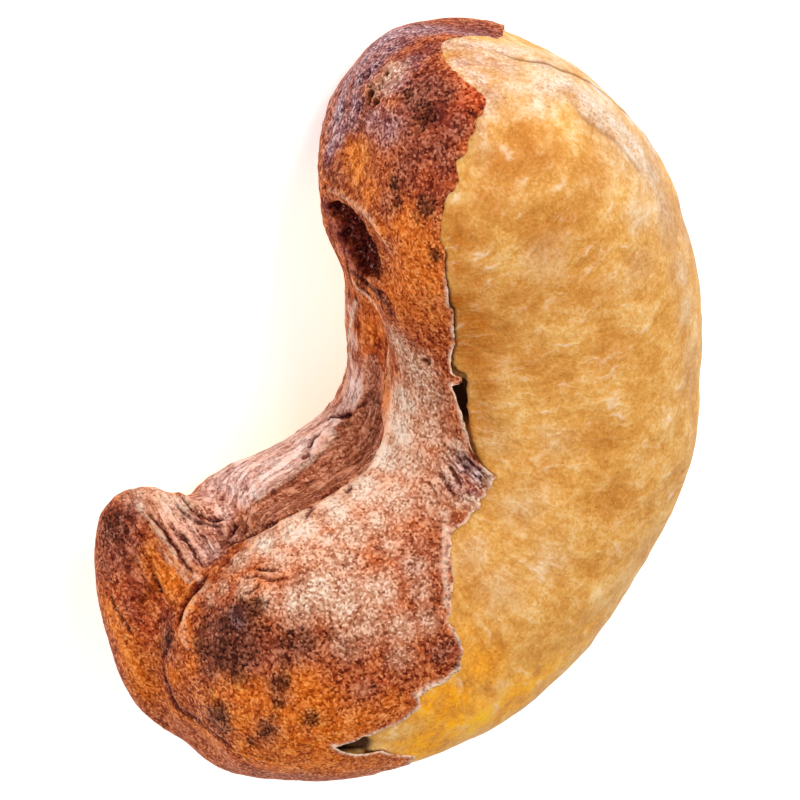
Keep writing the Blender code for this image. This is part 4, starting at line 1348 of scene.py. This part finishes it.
def overlaid(tree, colour, coats):
    """A colour with others laid over it in turn, each given with its share."""
    for share, own in coats:
        colour = add_node(tree, "Mix", {0: share, 6: colour, 7: own}, 2, data_type="RGBA")
    return colour


def grained(tree, tone, base, zones, fields, patchy):
    """Three colours, for dark, middle and light grains, each overlaid by its zones' own."""
    shares = {}
    for name in zones:
        shares[name] = add_node(tree, "Math", {0: fields[name], 1: patchy}, operation="MULTIPLY")
    shades = []
    for i, shade in enumerate(base):
        shades.append(overlaid(tree, shade, [(shares[name], zones[name][i]) for name in zones]))
    dark, middle, light = shades
    coats = []
    for (start, full), shade in ((DARK_TO_MIDDLE, middle), (MIDDLE_TO_LIGHT, light)):
        coats.append((add_node(tree, "MapRange", {0: tone, 1: start, 2: full}), shade))
    return overlaid(tree, dark, coats)


def laid_along(tree, place, turn, stretch):
    """Places in mm across and, drawn out, along fibres that run at an angle on the nut."""
    along = math.cos(turn) * VIEW_RIGHT - math.sin(turn) * VIEW_UP
    across = math.sin(turn) * VIEW_RIGHT + math.cos(turn) * VIEW_UP
    parts = {}
    for axis, way in {"X": stretch * along / MM, "Y": across / MM}.items():
        inputs = {0: place, 1: tuple(way)}
        parts[axis] = add_node(tree, "VectorMath", inputs, "Value", operation="DOT_PRODUCT")
    return add_node(tree, "CombineXYZ", parts)


def fibres_of(tree, place, size, share):
    """Fibres where their share is: how light each lies about 0, and thin dark pleats."""
    grain = {"Vector": place, "Scale": 1 / size, "Detail": 3.0, "Roughness": 0.65}
    fibre = add_node(tree, "TexNoise", grain)
    from_line = add_node(tree, "Math", {0: fibre, 1: 0.46}, operation="SUBTRACT")
    from_line = add_node(tree, "Math", {0: from_line}, operation="ABSOLUTE")
    pleat = add_node(tree, "MapRange", {0: from_line, 1: 0.0, 2: 0.035, 3: 1.0, 4: 0.0}, **SMOOTH)
    lined = add_node(tree, "Math", {0: fibre, 1: 0.5}, operation="SUBTRACT")
    parts = (lined, pleat)
    return [add_node(tree, "Math", {0: part, 1: share}, operation="MULTIPLY") for part in parts]


# Zones of the coat: the colours of its dark, middle and light grains.
COAT_BASE = ("#661a08", "#b65426", "#ea945c")
COAT_ZONES = {
    "red": ("#741804", "#c04a20", "#e88458"),
    "maroon": ("#380a0c", "#7e2e26", "#bc6c58"),
    "amber": ("#9c3c04", "#e2701a", "#fca452"),
    "umber": ("#3c160e", "#8a4834", "#c88a74"),
    "pink": ("#8e5048", "#d6a294", "#f8dcd2"),
    "lilac": ("#3c1e2e", "#9a6a74", "#e8ccd0"),
    "dust_and_highlight": ("#8a523a", "#ca9878", "#f6e0ce"),
}
COAT_FIELDS = (*COAT_ZONES, "scorch_and_shade", "crease_and_recess_shade", "rim", "relief_light_and_shade", "streaky", "pleated", "frayed")


def coat_fibres(tree, place, field):
    """The coat's fibres, about 0.1 mm apart and ten times as long: their tone and pleats."""
    flow = add_node(tree, "Attribute", None, "Vector", attribute_name="flow")
    drawn_out = add_node(tree, "VectorMath", {0: flow, 1: (0.09, 1.0, 1.0)}, operation="MULTIPLY")
    runs = (
        ("streaky", drawn_out, 0.2),
        ("pleated", laid_along(tree, place, KNOB_TURN, 0.1), 0.24),
        ("frayed", laid_along(tree, place, FRAY_TURN, 0.14), 0.15),
    )
    lined, pleat = 0.0, 0.0
    for name, way, size in runs:
        own_lined, own_pleat = fibres_of(tree, way, size, field[name])
        lined = add_node(tree, "Math", {0: own_lined, 1: lined}, operation="ADD")
        pleat = add_node(tree, "Math", {0: own_pleat, 1: pleat}, operation="ADD")
    return lined, pleat


def coat_tone(tree, field, grit, mottle, lined, pleat):
    """How light the coat is, from its dark grains at 0 to its light ones at 1."""
    calm = {0: field["streaky"], 1: 0.0, 2: 1.0, 3: 1.2, 4: 0.72}
    parts = [
        (grit, 0.5, add_node(tree, "MapRange", calm, **SMOOTH)),
        (mottle, 0.5, 0.45),
        # Painted light and shade of the relief.
        (field["relief_light_and_shade"], 0.5, 0.35),
        (lined, 0.0, 1.0),
        (pleat, 0.0, -0.12),
        (field["dust_and_highlight"], 0.0, 0.05),
        (field["pink"], 0.0, 0.06),
    ]
    return add_up(tree, 0.5, parts)


def coat_marks(tree, colour, field, grit, mottle):
    """The coat's colour with its scorched spots, painted shade with painted glints in its creases
    and recess, and its pale torn rim with the pale lines, some of which are painted highlights."""
    scorch_and_shade = add_up(tree, field["scorch_and_shade"], [(mottle, 0.5, 0.5), (grit, 0.5, -0.7)])
    scorch_and_shade = add_node(tree, "MapRange", {0: scorch_and_shade, 1: 0.1, 2: 1.0, 3: 0.0, 4: 0.88}, **SMOOTH)
    embers = add_node(tree, "MapRange", {0: grit, 1: 0.35, 2: 0.7})
    burnt = overlaid(tree, "#160402", [(embers, "#6a2808")])
    crease_and_recess_shade = add_up(tree, field["crease_and_recess_shade"], [(mottle, 0.5, 0.4)])
    crease_and_recess_shade = add_node(tree, "MapRange", {0: crease_and_recess_shade, 1: 0.1, 2: 0.9, 3: 0.0, 4: 0.86}, **SMOOTH)
    # Painted shade in the creases and recess: near black, maroon on the walls, with painted glints.
    walls = add_node(tree, "MapRange", {0: grit, 1: 0.4, 2: 0.62})
    glints = add_node(tree, "MapRange", {0: grit, 1: 0.64, 2: 0.76})
    pocket = overlaid(tree, "#1c0604", [(walls, "#74241a"), (glints, "#b88c84")])
    grainy = add_node(tree, "MapRange", {0: grit, 1: 0.2, 2: 0.45})
    rim = add_node(tree, "Math", {0: field["rim"], 1: grainy}, operation="MULTIPLY")
    return overlaid(tree, colour, [(scorch_and_shade, burnt), (crease_and_recess_shade, pocket), (rim, "#ffe0c6")])


def papery_seed_coat():
    """Cashew testa, a papery seed coat, dry roasted until it wrinkled and scorched:
    red-brown and granular, amber where light comes through it, dusty on its ridges. It
    also has painted highlights and painted sheen on its ridges and near the outline, and
    painted shade in its creases, recess and valley."""
    made, tree, shader = new_material("papery_seed_coat")
    place = add_node(tree, "TexCoord", None, "Object")
    field = fields_of(tree, COAT_FIELDS)
    grit = grit_of(tree, place, GRAIN)
    lumps = {"Vector": place, "Scale": per_mm(0.45), "Detail": 3.0, "Roughness": 0.6}
    mottle = add_node(tree, "TexNoise", lumps)
    lined, pleat = coat_fibres(tree, place, field)
    tone = coat_tone(tree, field, grit, mottle, lined, pleat)
    patchy = add_node(tree, "MapRange", {0: mottle, 1: 0.3, 2: 0.5, 3: 0.7, 4: 1.0}, **SMOOTH)
    colour = grained(tree, tone, COAT_BASE, COAT_ZONES, field, patchy)
    sheen = add_node(tree, "MapRange", {0: grit, 1: 0.3, 2: 0.7, 3: 0.68, 4: 0.45}, **SMOOTH)
    height = add_up(tree, grit, [(lined, 0.0, 0.9), (pleat, 0.0, -0.5)])
    relief = {"Height": height, "Strength": 1.0, "Distance": 0.1 * MM}
    finish = {
        "Base Color": coat_marks(tree, colour, field, grit, mottle),
        "Roughness": sheen,
        "Normal": add_node(tree, "Bump", relief),
        "IOR": 1.45,
        "Specular IOR Level": 0.07,
        "Subsurface Weight": 0.08,
        "Subsurface Radius": (1.0, 0.4, 0.15),
        "Subsurface Scale": 0.2 * MM,
    }
    set_inputs(tree, shader, finish)
    return made


# Zones of the bare kernel, as those of the coat.
FLESH_BASE = ("#c27c2c", "#e0a452", "#f4d094")
FLESH_ZONES = {
    "ochre": ("#9c500c", "#c06e18", "#dc9238"),
    "orange": ("#d87c04", "#fcaa14", "#fcc836"),
    "cream": ("#c08c58", "#d6ae84", "#ecd6b8"),
    "frost": ("#c09878", "#dcc4ac", "#f2e6da"),
    "film": ("#a4684c", "#d4aa90", "#f4e2d4"),
}
FLESH_FIELDS = (*FLESH_ZONES, "dents", "seam", "scorch_and_shade")


def flesh_streaks(tree, place):
    """Short pale streaks round the girth, about 0.2 mm wide and three times as long."""
    flow = add_node(tree, "Attribute", None, "Vector", attribute_name="flow")
    swirl = add_node(tree, "TexNoise", {"Vector": place, "Scale": per_mm(1.1)}, "Color")
    bend = {0: swirl, 1: (1.1, 1.1, 0.0), 2: flow}
    swirled = add_node(tree, "VectorMath", bend, operation="MULTIPLY_ADD")
    squeezed = add_node(tree, "VectorMath", {0: swirled, 1: (1.0, 0.34, 1.0)}, operation="MULTIPLY")
    streak = {"Vector": squeezed, "Scale": 1 / 0.36, "Detail": 3.0, "Roughness": 0.6}
    return add_node(tree, "TexNoise", streak)


def flesh_tone(tree, field, grit, mottle, clouds, streak):
    """How light the flesh is, from its dark grains at 0 to its light ones at 1.

    The film that the coat left behind, and the frosted flake, are grittier than the rest."""
    filmed = add_node(tree, "Math", {0: field["film"], 1: field["frost"]}, operation="MAXIMUM")
    weight = add_node(tree, "Math", {0: filmed, 1: 0.4, 2: 0.45}, operation="MULTIPLY_ADD")
    parts = [
        (grit, 0.5, weight),
        (mottle, 0.5, 0.55),
        (clouds, 0.5, 0.35),
        (field["dents"], 0.5, 0.22),
        (streak, 0.5, 0.4),
    ]
    return add_up(tree, 0.5, parts)


def flesh_marks(tree, colour, field, grit, clouds, streak):
    """The flesh's colour with its pale flecks, the line of the seam with a painted shadow
    along the flake's edge, and the shade inside the dark openings."""
    in_clouds = add_node(tree, "MapRange", {0: clouds, 1: 0.4, 2: 0.6, 3: 0.124, 4: 0.62}, **SMOOTH)
    fleck = add_node(tree, "MapRange", {0: streak, 1: 0.56, 2: 0.74}, **SMOOTH)
    fleck = add_node(tree, "Math", {0: fleck, 1: in_clouds}, operation="MULTIPLY")
    seam = add_node(tree, "Math", {0: field["seam"], 1: 0.8}, operation="MULTIPLY")
    shaded = {0: field["scorch_and_shade"], 1: 0.1, 2: 0.9, 3: 0.0, 4: 0.95}
    shaded = add_node(tree, "MapRange", shaded, **SMOOTH)
    shade = overlaid(tree, "#180806", [(grit, "#4a2418")])
    return overlaid(tree, colour, [(fleck, "#f8dcc2"), (seam, "#8a4e1a"), (shaded, shade)])


def roasted_seed_flesh():
    """Cashew cotyledon, starchy and oily flesh, dry roasted: golden tan with cream where
    it is frosted, a dull oily sheen, light that sinks in a little, and short pale streaks.
    Its cream also holds a painted highlight on the top and right, its ochre painted shade
    towards the tear, and its orange painted warm light from below."""
    made, tree, shader = new_material("roasted_seed_flesh")
    place = add_node(tree, "TexCoord", None, "Object")
    field = fields_of(tree, FLESH_FIELDS)
    grit = grit_of(tree, place, GRAIN)
    lumps = {"Vector": place, "Scale": per_mm(0.5), "Detail": 3.0, "Roughness": 0.65}
    mottle = add_node(tree, "TexNoise", lumps)
    wide_lumps = {"Vector": place, "Scale": per_mm(1.6), "Detail": 3.0, "Roughness": 0.6}
    clouds = add_node(tree, "TexNoise", wide_lumps)
    streak = flesh_streaks(tree, place)
    tone = flesh_tone(tree, field, grit, mottle, clouds, streak)
    patchy = add_node(tree, "MapRange", {0: mottle, 1: 0.3, 2: 0.6, 3: 0.5, 4: 1.0}, **SMOOTH)
    colour = grained(tree, tone, FLESH_BASE, FLESH_ZONES, field, patchy)
    sheen = add_node(tree, "MapRange", {0: mottle, 1: 0.3, 2: 0.7, 3: 0.5, 4: 0.65}, **SMOOTH)
    height = add_up(tree, streak, [(grit, 0.5, 0.5), (mottle, 0.5, 0.8)])
    relief = {"Height": height, "Strength": 0.9, "Distance": 0.08 * MM}
    finish = {
        "Base Color": flesh_marks(tree, colour, field, grit, clouds, streak),
        "Roughness": sheen,
        "Normal": add_node(tree, "Bump", relief),
        "IOR": 1.46,
        "Specular IOR Level": 0.16,
        "Subsurface Weight": 0.25,
        "Subsurface Radius": (1.0, 0.55, 0.2),
        "Subsurface Scale": 0.35 * MM,
    }
    set_inputs(tree, shader, finish)
    return made


def opal_acrylic():
    """Opal acrylic sheet with a matt face, lit faintly from below: it keeps shadows pale."""
    made, tree, shader = new_material("opal_acrylic")
    place = add_node(tree, "TexCoord", None, "Object")
    tooth = add_node(tree, "TexNoise", {"Vector": place, "Scale": per_mm(0.8)})
    finish = {
        "Base Color": overlaid(tree, "#f8f7f5", [(tooth, "#fdfdfc")]),
        "Roughness": 0.9,
        "Specular IOR Level": 0.1,
        "Emission Color": "#ffffff",
        "Emission Strength": 0.52,
    }
    set_inputs(tree, shader, finish)
    return made


# The studio.

FLOOR_SIDE, FLOOR_DROP = 1.2, 0.00002  # in metres
KEY_WATTS, FILL_WATTS, ROOM_LIGHT = 0.58, 0.22, 0.54


def lay_floor():
    mesh = bpy.data.meshes.new("floor")
    half = FLOOR_SIDE / 2
    corners = [(-half, -half), (half, -half), (half, half), (-half, half)]
    mesh.from_pydata([(x, y, -FLOOR_DROP) for x, y in corners], [], [(0, 1, 2, 3)])
    mesh.materials.append(opal_acrylic())
    floor = bpy.data.objects.new("floor", mesh)
    bpy.context.scene.collection.objects.link(floor)


def set_camera():
    """The photograph's view: the nut's own axes land on the pixel they have there."""
    data = bpy.data.cameras.new("photo_camera")
    data.sensor_width = SENSOR
    data.lens = SENSOR * CAMERA_DISTANCE / (PHOTO_SIDE * PIXEL)
    data.clip_start = 0.005
    data.clip_end = 5.0
    camera = bpy.data.objects.new("photo_camera", data)
    bpy.context.scene.collection.objects.link(camera)
    turn = Matrix((VIEW_RIGHT, VIEW_UP, VIEW_BACK)).transposed().to_4x4()
    camera.matrix_world = Matrix.Translation(EYE * MM) @ turn
    bpy.context.scene.camera = camera


def add_light(name, toward, distance, size, watts, colour):
    """A soft square light in a direction from the nut, facing it."""
    data = bpy.data.lights.new(name, "AREA")
    data.size = size
    data.energy = watts
    data.color = linear(colour)[:3]
    light = bpy.data.objects.new(name, data)
    bpy.context.scene.collection.objects.link(light)
    toward = Vector(toward).normalized()
    light.location = AIM * MM + distance * toward
    light.rotation_euler = toward.to_track_quat("Z", "Y").to_euler()


def light_studio():
    """A soft key from the photograph's upper right, and a pale room round it."""
    key = 0.38 * VIEW_UP + 0.42 * VIEW_RIGHT + 0.8 * VIEW_BACK
    add_light("key_softbox", key, 0.3, 0.12, KEY_WATTS, "#fffaf3")
    add_light("fill_softbox", (0.6, -0.5, 0.9), 0.35, 0.3, FILL_WATTS, "#fafbff")
    world = bpy.data.worlds.new("pale_room")
    world.use_nodes = True
    background = world.node_tree.nodes["Background"]
    background.inputs["Color"].default_value = linear("#fcfcfc")
    background.inputs["Strength"].default_value = ROOM_LIGHT
    bpy.context.scene.world = world
    bpy.context.scene.view_settings.view_transform = "Standard"


def dress(piece, node):
    """The piece stands for its solid, which is hidden, and rides with the nut."""
    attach(piece, "root")
    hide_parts(node)


def main():
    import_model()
    cad_box = [list(corner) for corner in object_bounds()]
    nut, coated = SeenNut(), SeenNut(COAT_LIFT)
    outline = tear_outline(nut)
    box = np.array(cad_box) / MM
    flesh, coat = roasted_seed_flesh(), papery_seed_coat()
    above = seed_half("seed_half_above", 1, nut, outline, box, flesh)
    below = seed_half("seed_half_below", -1, nut, outline, box, flesh)
    dress(above, "kernel_half_upper")
    dress(below, "kernel_half_lower")
    dress(torn_skin("torn_seed_coat", coated, outline, box, coat), "skin")
    lay_floor()
    set_camera()
    light_studio()


main()
